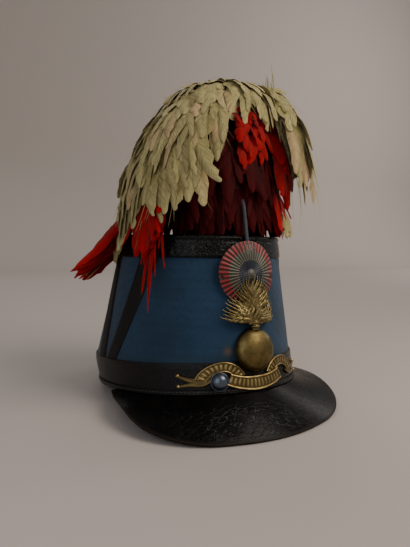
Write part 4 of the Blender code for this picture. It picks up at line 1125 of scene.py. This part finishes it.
def make_feather_finish(name, tip, body, root, rare, glow):
    """Root to tip colours along the feather, fine streaks along its barbs, a tint for each."""
    finish, tree, shader = new_finish(name, Roughness=0.72, Sheen_Weight=glow, Sheen_Roughness=0.4,
                                      Specular_IOR_Level=0.10)
    along, tint, shaft, shade = (add(tree, "ShaderNodeAttribute", {"attribute_name": key}).outputs["Fac"]
                                 for key in ("along", "tint", "shaft", "shade"))
    uv = add(tree, "ShaderNodeUVMap", {"uv_map": "UVMap"})
    barbs = add(tree, "ShaderNodeTexNoise", values={"Scale": 1.0, "Detail": 3.0, "Roughness": 0.6},
                links={"Vector": uv.outputs[0]})
    # Painted shade: the root colours are darker than the body and the tip.
    colour = add(tree, "ShaderNodeValToRGB", links={"Fac": along}, stops=[
        (0.0, linear(root)), (0.45, linear(body)), (0.92, linear(tip))])
    streak = add(tree, "ShaderNodeMapRange", values={1: 0.34, 2: 0.66, 3: 0.48, 4: 1.24},
                 links={0: barbs.outputs["Fac"]})
    odd = add(tree, "ShaderNodeMapRange", values={1: 0.84, 2: 1.0, 3: 0.0, 4: 0.7}, links={0: tint})
    varied = add(tree, "ShaderNodeMix", {"data_type": "RGBA"}, {7: linear(rare)},
                 {0: odd.outputs[0], 6: colour.outputs[0]})
    level = add(tree, "ShaderNodeMapRange", values={1: 0.0, 2: 1.0, 3: 0.74, 4: 1.10}, links={0: tint})
    light = add(tree, "ShaderNodeMath", {"operation": "MULTIPLY"},
                links={0: level.outputs[0], 1: streak.outputs[0]})
    deep = add(tree, "ShaderNodeMath", {"operation": "MULTIPLY"}, links={0: light.outputs[0], 1: shade})
    scaled = add(tree, "ShaderNodeVectorMath", {"operation": "SCALE"},
                 links={0: varied.outputs[2], "Scale": deep.outputs[0]})
    quill = add(tree, "ShaderNodeMix", {"data_type": "RGBA"}, {7: linear(tip)},
                {0: shaft, 6: scaled.outputs[0]})
    tree.links.new(quill.outputs[2], shader.inputs["Base Color"])
    bump = add(tree, "ShaderNodeBump", values={"Strength": 0.45, "Distance": 0.0004},
               links={"Height": barbs.outputs["Fac"]})
    tree.links.new(bump.outputs[0], shader.inputs["Normal"])
    return finish


FEATHERS = {
    "bleached_hackle_feather": ("#bdb07a", "#a79a62", "#564b28", "#b58f70", 0.12),
    "dyed_red_hackle_feather": ("#ac0f14", "#84090d", "#240205", "#4c060c", 0.08),
    # A nearly black copy of the red, as painted shade for the fans deep inside the plume.
    "shaded_red_hackle_feather": ("#4a0508", "#2c0305", "#100102", "#200204", 0.0),
}
WHITE_FEATHER, RED_FEATHER, DEEP_FEATHER = (
    make_feather_finish(name, *tones) for name, tones in FEATHERS.items())
print("feather finishes:", list(FEATHERS))

# %% [markdown]
# ## The plume's fans
# The feathers are bound on one head above the stem. A feather's path springs up, arches over its
# shoulder and hangs, as a cubic Bezier curve in the plane of its own direction. A table gives the
# fans that the plume is made of; any share between a fan's two borders has a path of its own, so
# the feathers of a fan form one shingled sheet. A second table turns or flicks those fans that need
# it. The narrow fans (tufts, fringes, edges, streaks) only fill and soften the wide ones.

# %% Read a path at any share of any fan
PLUME_HEIGHT, PLUME_REACH, LOCK_RADIUS = 0.1290, 0.0800, 0.0092
PLUME_ROOT, PLUME_BACK, PLUME_ACROSS = 0.35, 0.0400, 0.0060
ROOT_OUT, CREST_OUT, SHOULDER_OUT, PATH_TAPER = 0.12, 0.27, 0.88, 0.75
HEAD_BALL, CROWN_BALL = (0.50, 0.32, 0.60), (0.13, 0.10, 0.80)
FAN_COLUMNS = ("from", "to", "reach", "reach_to", "crest", "shoulder", "tip", "tip_to", "thick",
               "first", "count", "long", "wide")
FANS = {
    "right fall": ("right", -46, -122, 0.84, 1.07, 1.34, 0.50, 0.13, -0.08, 1.0, 0.02, 180, 0.054, 0.0078),
    "right cover": ("right", -100, -126, 1.00, 1.10, 1.10, 0.46, -0.10, -0.16, 0.9, 0.30, 60, 0.050, 0.0078),
    "right top": ("right", -24, -155, 0.50, 0.74, 1.25, 0.86, 0.46, 0.36, 1.1, 0.02, 120, 0.050, 0.0078),
    "rear fall": ("rear", 214, 122, 1.00, 0.88, 1.22, 0.62, 0.19, 0.21, 1.0, 0.02, 160, 0.054, 0.0078),
    "crown": ("rear", -180, 180, 0.32, 0.32, 0.98, 0.98, 0.74, 0.74, 0.9, 0.24, 60, 0.036, 0.0074),
    "rear top": ("rear", 205, 64, 0.70, 0.60, 1.22, 0.90, 0.42, 0.46, 1.1, 0.02, 100, 0.050, 0.0078),
    "left fall": ("left", 122, 44, 0.90, 0.96, 1.22, 1.00, 0.24, 0.20, 0.9, 0.02, 140, 0.052, 0.0074),
    "left front": ("left", 60, 34, 0.93, 0.84, 1.16, 1.00, 0.30, 0.26, 0.8, 0.02, 60, 0.052, 0.0070),
    "left lining": ("left", 110, 46, 0.88, 0.90, 1.22, 0.98, 0.34, 0.26, 0.6, 0.10, 50, 0.048, 0.0074),
    "brow": ("left", 66, -16, 0.70, 0.50, 1.10, 0.96, 0.56, 0.66, 1.0, 0.02, 80, 0.046, 0.0074),
    "forelock": ("left", -24, -34, 0.56, 0.54, 1.16, 0.90, 0.44, 0.32, 0.8, 0.20, 10, 0.046, 0.0050),
    "front fringe": ("deep", 44, -44, 0.42, 0.44, 0.90, 0.50, -0.03, -0.03, 0.9, 0.30, 100, 0.050, 0.0076),
    "side fringe": ("deep", -38, -126, 0.48, 0.78, 0.66, 0.40, -0.04, 0.02, 0.9, 0.30, 110, 0.050, 0.0076),
    "rear fringe": ("deep", 80, 234, 0.56, 0.78, 0.66, 0.40, 0.04, 0.04, 0.9, 0.40, 110, 0.050, 0.0076),
    "left fringe": ("red", 84, 40, 0.66, 0.54, 0.70, 0.48, 0.00, -0.04, 0.9, 0.40, 50, 0.040, 0.0074),
    "red front": ("deep", 50, -42, 0.50, 0.56, 0.92, 0.62, 0.16, 0.14, 0.9, 0.10, 60, 0.046, 0.0076),
    "red tuft": ("red", 20, -14, 0.50, 0.54, 0.94, 0.86, 0.44, 0.32, 1.3, 0.30, 40, 0.022, 0.0066),
    "red edge": ("red", 62, 36, 0.72, 0.66, 1.02, 0.84, 0.26, 0.12, 0.8, 0.30, 34, 0.040, 0.0066),
    "red hang": ("red", -70, -86, 0.94, 0.98, 1.10, 0.46, -0.14, -0.12, 0.7, 0.60, 30, 0.044, 0.0078),
    "red tail": ("red", -74, -79, 0.98, 1.00, 1.00, 0.40, -0.36, -0.46, 0.4, 0.50, 9, 0.066, 0.0024),
    "red spray": ("red", -112, -127, 1.00, 0.98, 0.96, 0.44, -0.20, -0.26, 0.6, 0.70, 40, 0.044, 0.0078),
    "spray streak": ("right", -114, -122, 1.02, 0.98, 0.98, 0.44, -0.20, -0.22, 0.7, 0.80, 6, 0.040, 0.0046),
    "left fluff": ("left", 74, 46, 0.70, 0.62, 0.50, 0.40, 0.02, -0.03, 1.0, 0.75, 14, 0.018, 0.0052),
}
PLAIN_FAN = {"flick": 0.0, "face": 1, "turn": 0.0}
TURNED_FANS = {
    "right cover": {"flick": 0.02, "turn": 0.6},
    "left fall": {"flick": -0.03, "turn": -0.2},
    "left front": {"flick": -0.06, "turn": -1.1},
    "left lining": {"flick": -0.05, "face": -1},
    "left fringe": {"turn": -0.4},
    "red edge": {"flick": -0.04, "turn": -0.8},
    "red hang": {"flick": 0.02, "turn": 0.4},
    "red tail": {"turn": 0.4},
    "red spray": {"flick": 0.54, "turn": 1.1},
    "spray streak": {"flick": 0.42, "turn": 1.1},
    "left fluff": {"turn": -0.9},
}
FRONT_TOP = BODY_HEIGHT - TOP_SLOPE
PLUME_MIDDLE = np.array([PLUME_ACROSS, wall_spot(0.0, FRONT_TOP, 0.0)[1] + PLUME_BACK, 0.0])


def fan_path(fan, share):
    """Angle, reach, handle heights and the other columns of paths at shares of a fan, as rows."""
    value = PLAIN_FAN | TURNED_FANS.get(fan, {}) | dict(zip(FAN_COLUMNS, FANS[fan][1:]))
    angle = np.radians(value["from"] + (value["to"] - value["from"]) * share)
    reach = PLUME_REACH * (value["reach"] + (value["reach_to"] - value["reach"]) * share)
    tip = value["tip"] + (value["tip_to"] - value["tip"]) * share
    same = np.ones_like(angle)
    rest = [value[key] * same for key in ("crest", "shoulder", "thick", "flick", "face", "turn")]
    return np.stack([angle, reach, tip, *rest], axis=-1)


def path_frame(rows, t):
    """Places, directions along, away and around, and radii on paths at parameters t."""
    angle, reach, tip, crest, shoulder, thick, flick, face = (
        rows[:, k].reshape(-1, *[1] * (t.ndim - 1)) + 0 * t for k in range(8))
    out = np.stack([ROOT_OUT * reach, CREST_OUT * reach, SHOULDER_OUT * reach, reach])
    up = FRONT_TOP + PLUME_HEIGHT * np.stack([PLUME_ROOT + 0 * t, crest, shoulder, tip])
    blend = np.stack([(1 - t) ** 3, 3 * t * (1 - t) ** 2, 3 * t * t * (1 - t), t ** 3])
    slope = np.stack([-3 * (1 - t) ** 2, 3 * (1 - t) ** 2 - 6 * t * (1 - t),
                      6 * t * (1 - t) - 3 * t * t, 3 * t * t])
    radial = np.stack([np.sin(angle), -np.cos(angle), 0 * t], axis=-1)
    around = np.stack([np.cos(angle), np.sin(angle), 0 * t], axis=-1)
    upright = np.array([0.0, 0.0, 1.0])
    level = (out * blend).sum(0) + PLUME_REACH * flick * t ** 8
    steep = (out * slope).sum(0) + PLUME_REACH * flick * 8 * t ** 7
    place = PLUME_MIDDLE + level[..., None] * radial + (up * blend).sum(0)[..., None] * upright
    forward = unit(steep[..., None] * radial + (up * slope).sum(0)[..., None] * upright)
    radius = LOCK_RADIUS * thick * (0.55 + 0.55 * np.sin(np.clip(t, 0, 1) * math.pi * PATH_TAPER))
    radius = radius * np.where(t > PATH_TAPER, 1.0 - 2.0 * (np.clip(t, 0, 1.1) - PATH_TAPER), 1.0)
    return place, forward, face[..., None] * np.cross(forward, around), around, radius


def path_lengths(rows):
    """Length of each path, from fifty short steps."""
    t = np.tile(np.linspace(0.0, 1.0, 51), (len(rows), 1))
    return np.linalg.norm(np.diff(path_frame(rows, t)[0], axis=1), axis=-1).sum(axis=1)


def above_top(points):
    """Lifts what would sink into the leather top to rest just above it."""
    x, y, z = np.moveaxis(points, -1, 0)
    place = np.hypot(x / (TOP_HALF[1] + 0.004), (y - TOP_SHIFT) / (TOP_HALF[0] + 0.004))
    rim = BODY_HEIGHT + TOP_SLOPE * (y - TOP_SHIFT) / TOP_HALF[0] + 0.0006
    top = rim - TOP_SINK * (place < 0.93)
    low = np.where(place < 1.0, np.maximum(z, top + 0.06 * np.maximum(top - z, 0.0)), z)
    return np.stack([x, y, low], axis=-1)


print("fans:", len(FANS), "feathers:", sum(row[-3] for row in FANS.values()))

# %% Shape a feather
BARB_ROWS = 12
LOOP = np.array([-1.0, -0.55, 0.0, 0.55, 1.0, 0.0])
LOOP_FACE = np.array([0.0, 1.0, 1.0, 1.0, 0.0, -1.0])
VANE_THICKNESS, SHAFT_HEIGHT, CUP = 0.00022, 0.00035, 0.22
FRAY, SPLIT, SPLIT_CHANCE = 0.24, 0.40, 0.11
GOLDEN = 0.618034
UV_APART, UV_LENGTH, BARB_SLANT = 7.3, 0.9, 8


def feather_leaves(rows, start, end, bend, roll, wide, stand, seeds, pointed):
    """Closed leaves on paths: rows of barbs slant forwards from the shaft to a rounded edge.

    A point's share of the feather is its row's place plus a slant that dies at the tip. It stands
    off its path by a share of the path's radius that grows from root to tip, so that tips lie over
    roots, and it is bent to one side by the square of its share.
    """
    count = len(rows)
    row = np.sin(np.linspace(0.0, math.pi / 2, BARB_ROWS))[None, :, None]
    ends = (row == 0) | (row == 1)
    u = np.broadcast_to(LOOP, (count, BARB_ROWS, len(LOOP)))
    full = np.clip(0.30 + 1.6 * row, 0, 1) * np.sqrt(1.0 - np.clip((row - 0.35) / 0.65, 0, 1) ** pointed)
    sides = (count, BARB_ROWS, 2)
    notch = seeds.uniform(0.0, FRAY, sides) + SPLIT * (seeds.random(sides) < SPLIT_CHANCE)
    half = wide[:, None, None] * full * (1.0 - np.where(u < 0, notch[..., :1], notch[..., 1:]) * np.abs(u))
    half = np.where(ends, 0.0, half)
    p = row + np.where(ends, 0.0, 0.16 * np.abs(u) * (1.0 - row))
    t = start[:, None, None] + (end - start)[:, None, None] * p
    place, forward, away, around, radius = path_frame(rows, t)
    depth = radius * (0.15 + 0.95 * np.sin(p * 0.62 * math.pi)) + stand[:, None, None] * p ** 1.5
    length = np.linalg.norm(place[:, -1] - place[:, 0], axis=-1)[:, None, :]
    drift = bend[:, None, None] * length * p ** 2
    turned = roll[:, None, None] * (0.4 + 0.6 * p)
    front = np.cos(turned)[..., None] * away + np.sin(turned)[..., None] * around
    sideways = np.cross(forward, front)
    height = VANE_THICKNESS * LOOP_FACE + SHAFT_HEIGHT * ((u == 0) & (LOOP_FACE > 0)) * (1.0 - row)
    height = np.where(ends, 0.0, height - CUP * np.abs(half) * u ** 2)
    points = place + away * depth[..., None] + around * drift[..., None]
    points = points + sideways * (u * half)[..., None] + front * height[..., None]
    faces = many(count, grid_faces(BARB_ROWS, len(LOOP), False, True), BARB_ROWS * len(LOOP))
    return above_top(points), faces, p


def grow(name, group, finish, seed, pointed=2.1):
    """All feathers of a group's fans: shares step by the golden ratio while starts step evenly."""
    seeds = np.random.default_rng(seed)
    columns = []
    for fan, row in FANS.items():
        if row[0] != group:
            continue
        first, count, long, wide = row[-4:]
        number = np.arange(count)
        share = (number * GOLDEN + seeds.uniform(0.0, 0.3 / count, count)) % 1.0
        rows = fan_path(fan, share)
        lengths = path_lengths(rows)
        span = long / lengths * seeds.uniform(0.85, 1.2, count)
        start = first + (1.0 - span - first) * (number + seeds.random(count)) / count
        columns.append((rows, start, start + span, seeds.normal(0.0, 0.15, count),
                        rows[:, 8] + seeds.normal(0.0, 0.30, count),
                        wide * seeds.uniform(0.75, 1.2, count), seeds.uniform(-0.0005, 0.0030, count),
                        lengths))
    rows, start, end, bend, roll, wide, stand, lengths = (np.concatenate(part) for part in zip(*columns))
    points, faces, p = feather_leaves(rows, start, end, bend, roll, wide, stand, seeds, pointed)
    u = np.broadcast_to(LOOP, p.shape)
    tint = np.broadcast_to(seeds.random(len(rows))[:, None, None], p.shape)
    shade = (0.70 + 0.35 * p) * (1.0 - 0.12 * np.abs(u))
    shaft = 0.35 * ((u == 0) & (LOOP_FACE > 0)) * (1.0 - 0.6 * p)
    millimetres = 1000 * ((end - start) * lengths)[:, None, None] * p
    uv = np.stack([u + UV_APART * np.arange(len(rows))[:, None, None],
                   UV_LENGTH * (millimetres - BARB_SLANT * np.abs(u))], axis=-1)
    return make_piece(name, points, faces, [finish], ["plume"], values={
        "along": p, "tint": tint, "shaft": shaft, "shade": shade}, uv=uv)


# %% Grow the feathers
grow("plume_white_right", "right", WHITE_FEATHER, 3)
grow("plume_white_rear", "rear", WHITE_FEATHER, 5)
grow("plume_white_left", "left", WHITE_FEATHER, 7)
grow("plume_red", "red", RED_FEATHER, 9, 2.0)
grow("plume_deep_red", "deep", DEEP_FEATHER, 11, 2.0)

# %% [markdown]
# ## Down and shadow, and loose barbs
# Between the vanes of a real plume there is down and shadow, never a view through to the other
# side. A thin uneven sheet under every fan, a rounded head in the middle and a small ball in the
# crown stand for it, in the colour of the feathers' roots. Loose barbs stand out along the outline,
# and a wisp of them rises from the crest; they are fine tubes that taper to nothing.

# %% Fill the fans and the head


def fan_slab(fan):
    """A sheet over shares and parameters: an uneven outside and an inside that meet at the edges."""
    share, t = np.linspace(0.0, 1.0, 40), np.linspace(0.0, 0.90, 26)
    place, _, away, _, radius = path_frame(fan_path(fan, share), np.tile(t, (40, 1)))
    border = np.minimum(1.0, 12 * np.minimum(share, 1.0 - share))[:, None]
    edge = (border * np.minimum(1.0, 8 * (0.92 - t)))[..., None]
    rough = 0.10 * np.sin(61 * share[:, None] + 9 * t) + 0.08 * np.sin(37 * share[:, None] - 23 * t)
    outside = place + away * (radius * rough)[..., None] * edge
    inside = place - away * (0.45 * radius)[..., None] * edge
    points, faces = slab(above_top(outside), above_top(inside))
    return points, facing_out(points, faces)


def head_ball(reach, rise, place):
    """An oval with slow ripples, as shares of the plume's reach and height."""
    turn = np.linspace(0.0, math.pi, 30)[:, None]
    around = circle(40)
    size = np.array([PLUME_REACH * reach, PLUME_REACH * reach, PLUME_HEIGHT * rise]) * 0.92
    ball = [np.sin(turn) * np.cos(around), np.sin(turn) * np.sin(around), np.cos(turn) + 0 * around]
    ripple = 1.0 + 0.05 * np.sin(6 * around + 5 * turn) * np.sin(turn)
    middle = PLUME_MIDDLE + [0, 0, FRONT_TOP + PLUME_HEIGHT * place]
    head = (middle + size * np.stack(ball, axis=-1) * ripple[..., None]).reshape(-1, 3)
    return head, facing_out(head, grid_faces(30, 40, False, True))


def make_plume_filling(name, groups, base, ball):
    """The sheets of some groups' fans and a ball as one piece with a matted finish."""
    finish, tree, shader = new_finish(name.replace("plume", "matted") + "_down_and_shade", Roughness=0.95)
    place = add(tree, "ShaderNodeTexCoord").outputs["Object"]
    fluff = add(tree, "ShaderNodeTexNoise", values={"Scale": per_mm(2.5), "Detail": 4.0},
                links={"Vector": place})
    # Down and painted shade: dark root colours where only shadow would show between the vanes.
    tone = add(tree, "ShaderNodeValToRGB", links={"Fac": fluff.outputs["Fac"]}, stops=[
        (0.3, linear(base[0])), (0.7, linear(base[1]))])
    tree.links.new(tone.outputs[0], shader.inputs["Base Color"])
    sheets = [fan_slab(fan) for fan, row in FANS.items() if row[0] in groups]
    points, faces = joined(sheets + [head_ball(*ball)])
    return make_piece(name, points, faces, [finish], ["plume"], closed=False)


make_plume_filling("plume_white_core", ("right", "rear", "left"), ("#5f563a", "#9a9066"), CROWN_BALL)
make_plume_filling("plume_red_core", ("red", "deep"), ("#120203", "#36050a"), HEAD_BALL)

# %% Let loose barbs stand out
LOOSE = {"right fall": 170, "right top": 150, "rear fall": 120, "rear top": 90, "left fall": 180,
         "left front": 60, "brow": 110}
BARB_RADIUS = 0.00028
TALL_COUNT, TALL_STEPS = 14, 7
TALL_FOOT, TALL_TIP = np.array([0.0290, -0.0785, 0.2320]), np.array([0.0305, -0.0880, 0.2606])
TALL_SPREAD, TALL_BEND = [0.0042, 0.0042, 0.001], [0.0025, 0.0, 0.0]


def make_loose_barbs():
    """Fine tubes that leave their paths, stand off by up to some millimetres and bend aside."""
    seeds = np.random.default_rng(31)
    parts = []
    for fan, count in LOOSE.items():
        rows = fan_path(fan, (np.arange(count) * GOLDEN) % 1.0)
        start = seeds.uniform(0.15, 0.85, count)
        p = np.linspace(0.0, 1.0, TALL_STEPS)[None, :]
        span = seeds.uniform(0.10, 0.26, count)[:, None]
        place, _, away, around, radius = path_frame(rows, start[:, None] + span * p)
        stand = radius * 0.9 + seeds.uniform(0.001, 0.010, count)[:, None] * p ** 1.5
        drift = seeds.normal(0.0, 0.006, count)[:, None] * p ** 2
        lines = place + away * stand[..., None] + around * drift[..., None]
        parts.append(tubes(above_top(lines), around, BARB_RADIUS * (1.0 - p) ** 0.6 * (p > 0) + 0 * span, 3))
    number = np.arange(TALL_COUNT)[:, None, None]
    p = np.linspace(0.0, 1.0, TALL_STEPS)[None, :, None]
    reach = 1.0 - 0.62 * np.sqrt(number / TALL_COUNT)
    spread = seeds.normal(0.0, 1.0, (TALL_COUNT, 1, 3)) * TALL_SPREAD
    lines = TALL_FOOT + (TALL_TIP - TALL_FOOT) * reach * p + spread * (1.0 - 0.7 * p)
    lines = lines + np.sin(p * math.pi) * TALL_BEND
    thin = (2.2 * BARB_RADIUS * (1.0 - p[..., 0]) ** 0.7 * (p[..., 0] > 0)) * np.ones((TALL_COUNT, 1))
    parts.append(tubes(lines, np.broadcast_to([0.0, -1.0, 0.0], lines.shape), thin, 3))
    points, faces = joined(parts)
    count = len(points)
    return make_piece("plume_loose_barbs", points, faces, [WHITE_FEATHER], ["plume"], values={
        "along": np.full(count, 0.8), "tint": np.full(count, 0.5), "shaft": np.zeros(count),
        "shade": np.ones(count)}, uv=np.zeros((count, 2)), closed=False)


make_loose_barbs()

# %% [markdown]
# ## Stand, light and camera
# A pale sheet that sweeps up behind the hat is the plainest stage. A large soft light from the
# upper right front, a weak one from the left and a pale sky give the broad, gentle highlights of a
# room. The camera stands where the photograph was taken: the angles come from fitting the outline
# of the hat.

# %% Sweep the stage
STAGE_FRONT, STAGE_BACK, STAGE_HALF, STAGE_BEND = -3.0, 1.4, 4.0, 0.6


def make_stage():
    """A flat floor, a quarter circle, then a wall: a profile carried straight across."""
    turn = np.linspace(0.0, math.pi / 2, 24)
    y = np.concatenate([[STAGE_FRONT], STAGE_BACK + STAGE_BEND * np.sin(turn), [STAGE_BACK + STAGE_BEND]])
    z = np.concatenate([[0.0], STAGE_BEND * (1 - np.cos(turn)), [4.0]])
    x = np.array([-STAGE_HALF, STAGE_HALF])[:, None]
    grid = np.stack(np.broadcast_arrays(x, y, z), axis=-1)
    mesh = bpy.data.meshes.new("stage")
    mesh.from_pydata(grid.reshape(-1, 3).tolist(), [], grid_faces(2, len(y))[:, ::-1].tolist())
    mesh.shade_smooth()
    finish, _, shader = new_finish("matt_paper", Roughness=0.9, Specular_IOR_Level=0.1)
    shader.inputs["Base Color"].default_value = linear("#b9b0aa")
    mesh.materials.append(finish)
    stage = bpy.data.objects.new("stage", mesh)
    bpy.context.scene.collection.objects.link(stage)


make_stage()

# %% Light the room
HAT_MIDDLE, WALL_MIDDLE = (0.0, 0.0, 0.12), (2.0, 2.0, 0.4)
LIGHTS = {
    "key": ((0.34, -0.59, 0.76), 0.56, 5.8, "#fff4e6", HAT_MIDDLE),
    "fill": ((-0.8, -0.55, 0.45), 0.8, 2.2, "#eef2ff", HAT_MIDDLE),
    "rim": ((0.2, 1.1, 1.3), 1.0, 4.0, "#ffffff", HAT_MIDDLE),
    "wall": ((2.4, 0.3, 1.3), 1.4, 22.0, "#fff8f0", WALL_MIDDLE),
}
SKY_STRENGTH = 0.46
for name, (place, size, power, tint, aim) in LIGHTS.items():
    lamp = bpy.data.lights.new(name, "AREA")
    lamp.size = size
    lamp.energy = power
    lamp.color = linear(tint)[:3]
    light = bpy.data.objects.new(name, lamp)
    light.location = place
    light.rotation_euler = (Vector(aim) - Vector(place)).to_track_quat("-Z", "Y").to_euler()
    bpy.context.scene.collection.objects.link(light)
world = bpy.data.worlds.new("pale_room")
world.use_nodes = True
world.node_tree.nodes["Background"].inputs[0].default_value = linear("#d9d6d2")
world.node_tree.nodes["Background"].inputs[1].default_value = SKY_STRENGTH
bpy.context.scene.world = world
print("lights:", list(LIGHTS))

# %% Place the camera
PHOTO_SIZE = (410, 547)
FOCAL_PIXELS = 469.63
SENSOR = 36.0
CAMERA_PLACE = (-0.21396, -0.35629, 0.13750)
CAMERA_FORWARD = (0.52511, 0.84777, -0.07454)
CAMERA_UP = (0.01479, 0.07848, 0.99681)
forward, upright = Vector(CAMERA_FORWARD).normalized(), Vector(CAMERA_UP)
sideways = forward.cross(upright).normalized()
turn = Matrix((sideways, sideways.cross(forward), -forward)).transposed().to_4x4()
lens = bpy.data.cameras.new("camera")
lens.sensor_width = SENSOR
lens.lens = FOCAL_PIXELS * SENSOR / max(PHOTO_SIZE)
camera = bpy.data.objects.new("camera", lens)
camera.matrix_world = Matrix.Translation(CAMERA_PLACE) @ turn
bpy.context.scene.collection.objects.link(camera)
bpy.context.scene.camera = camera
print("lens in mm:", round(lens.lens, 2))

# %% [markdown]
# ## Bring the scene up to date
# The dressed hat has to stay within the box of its solids.

# %% Update the view layer
bpy.context.view_layer.update()
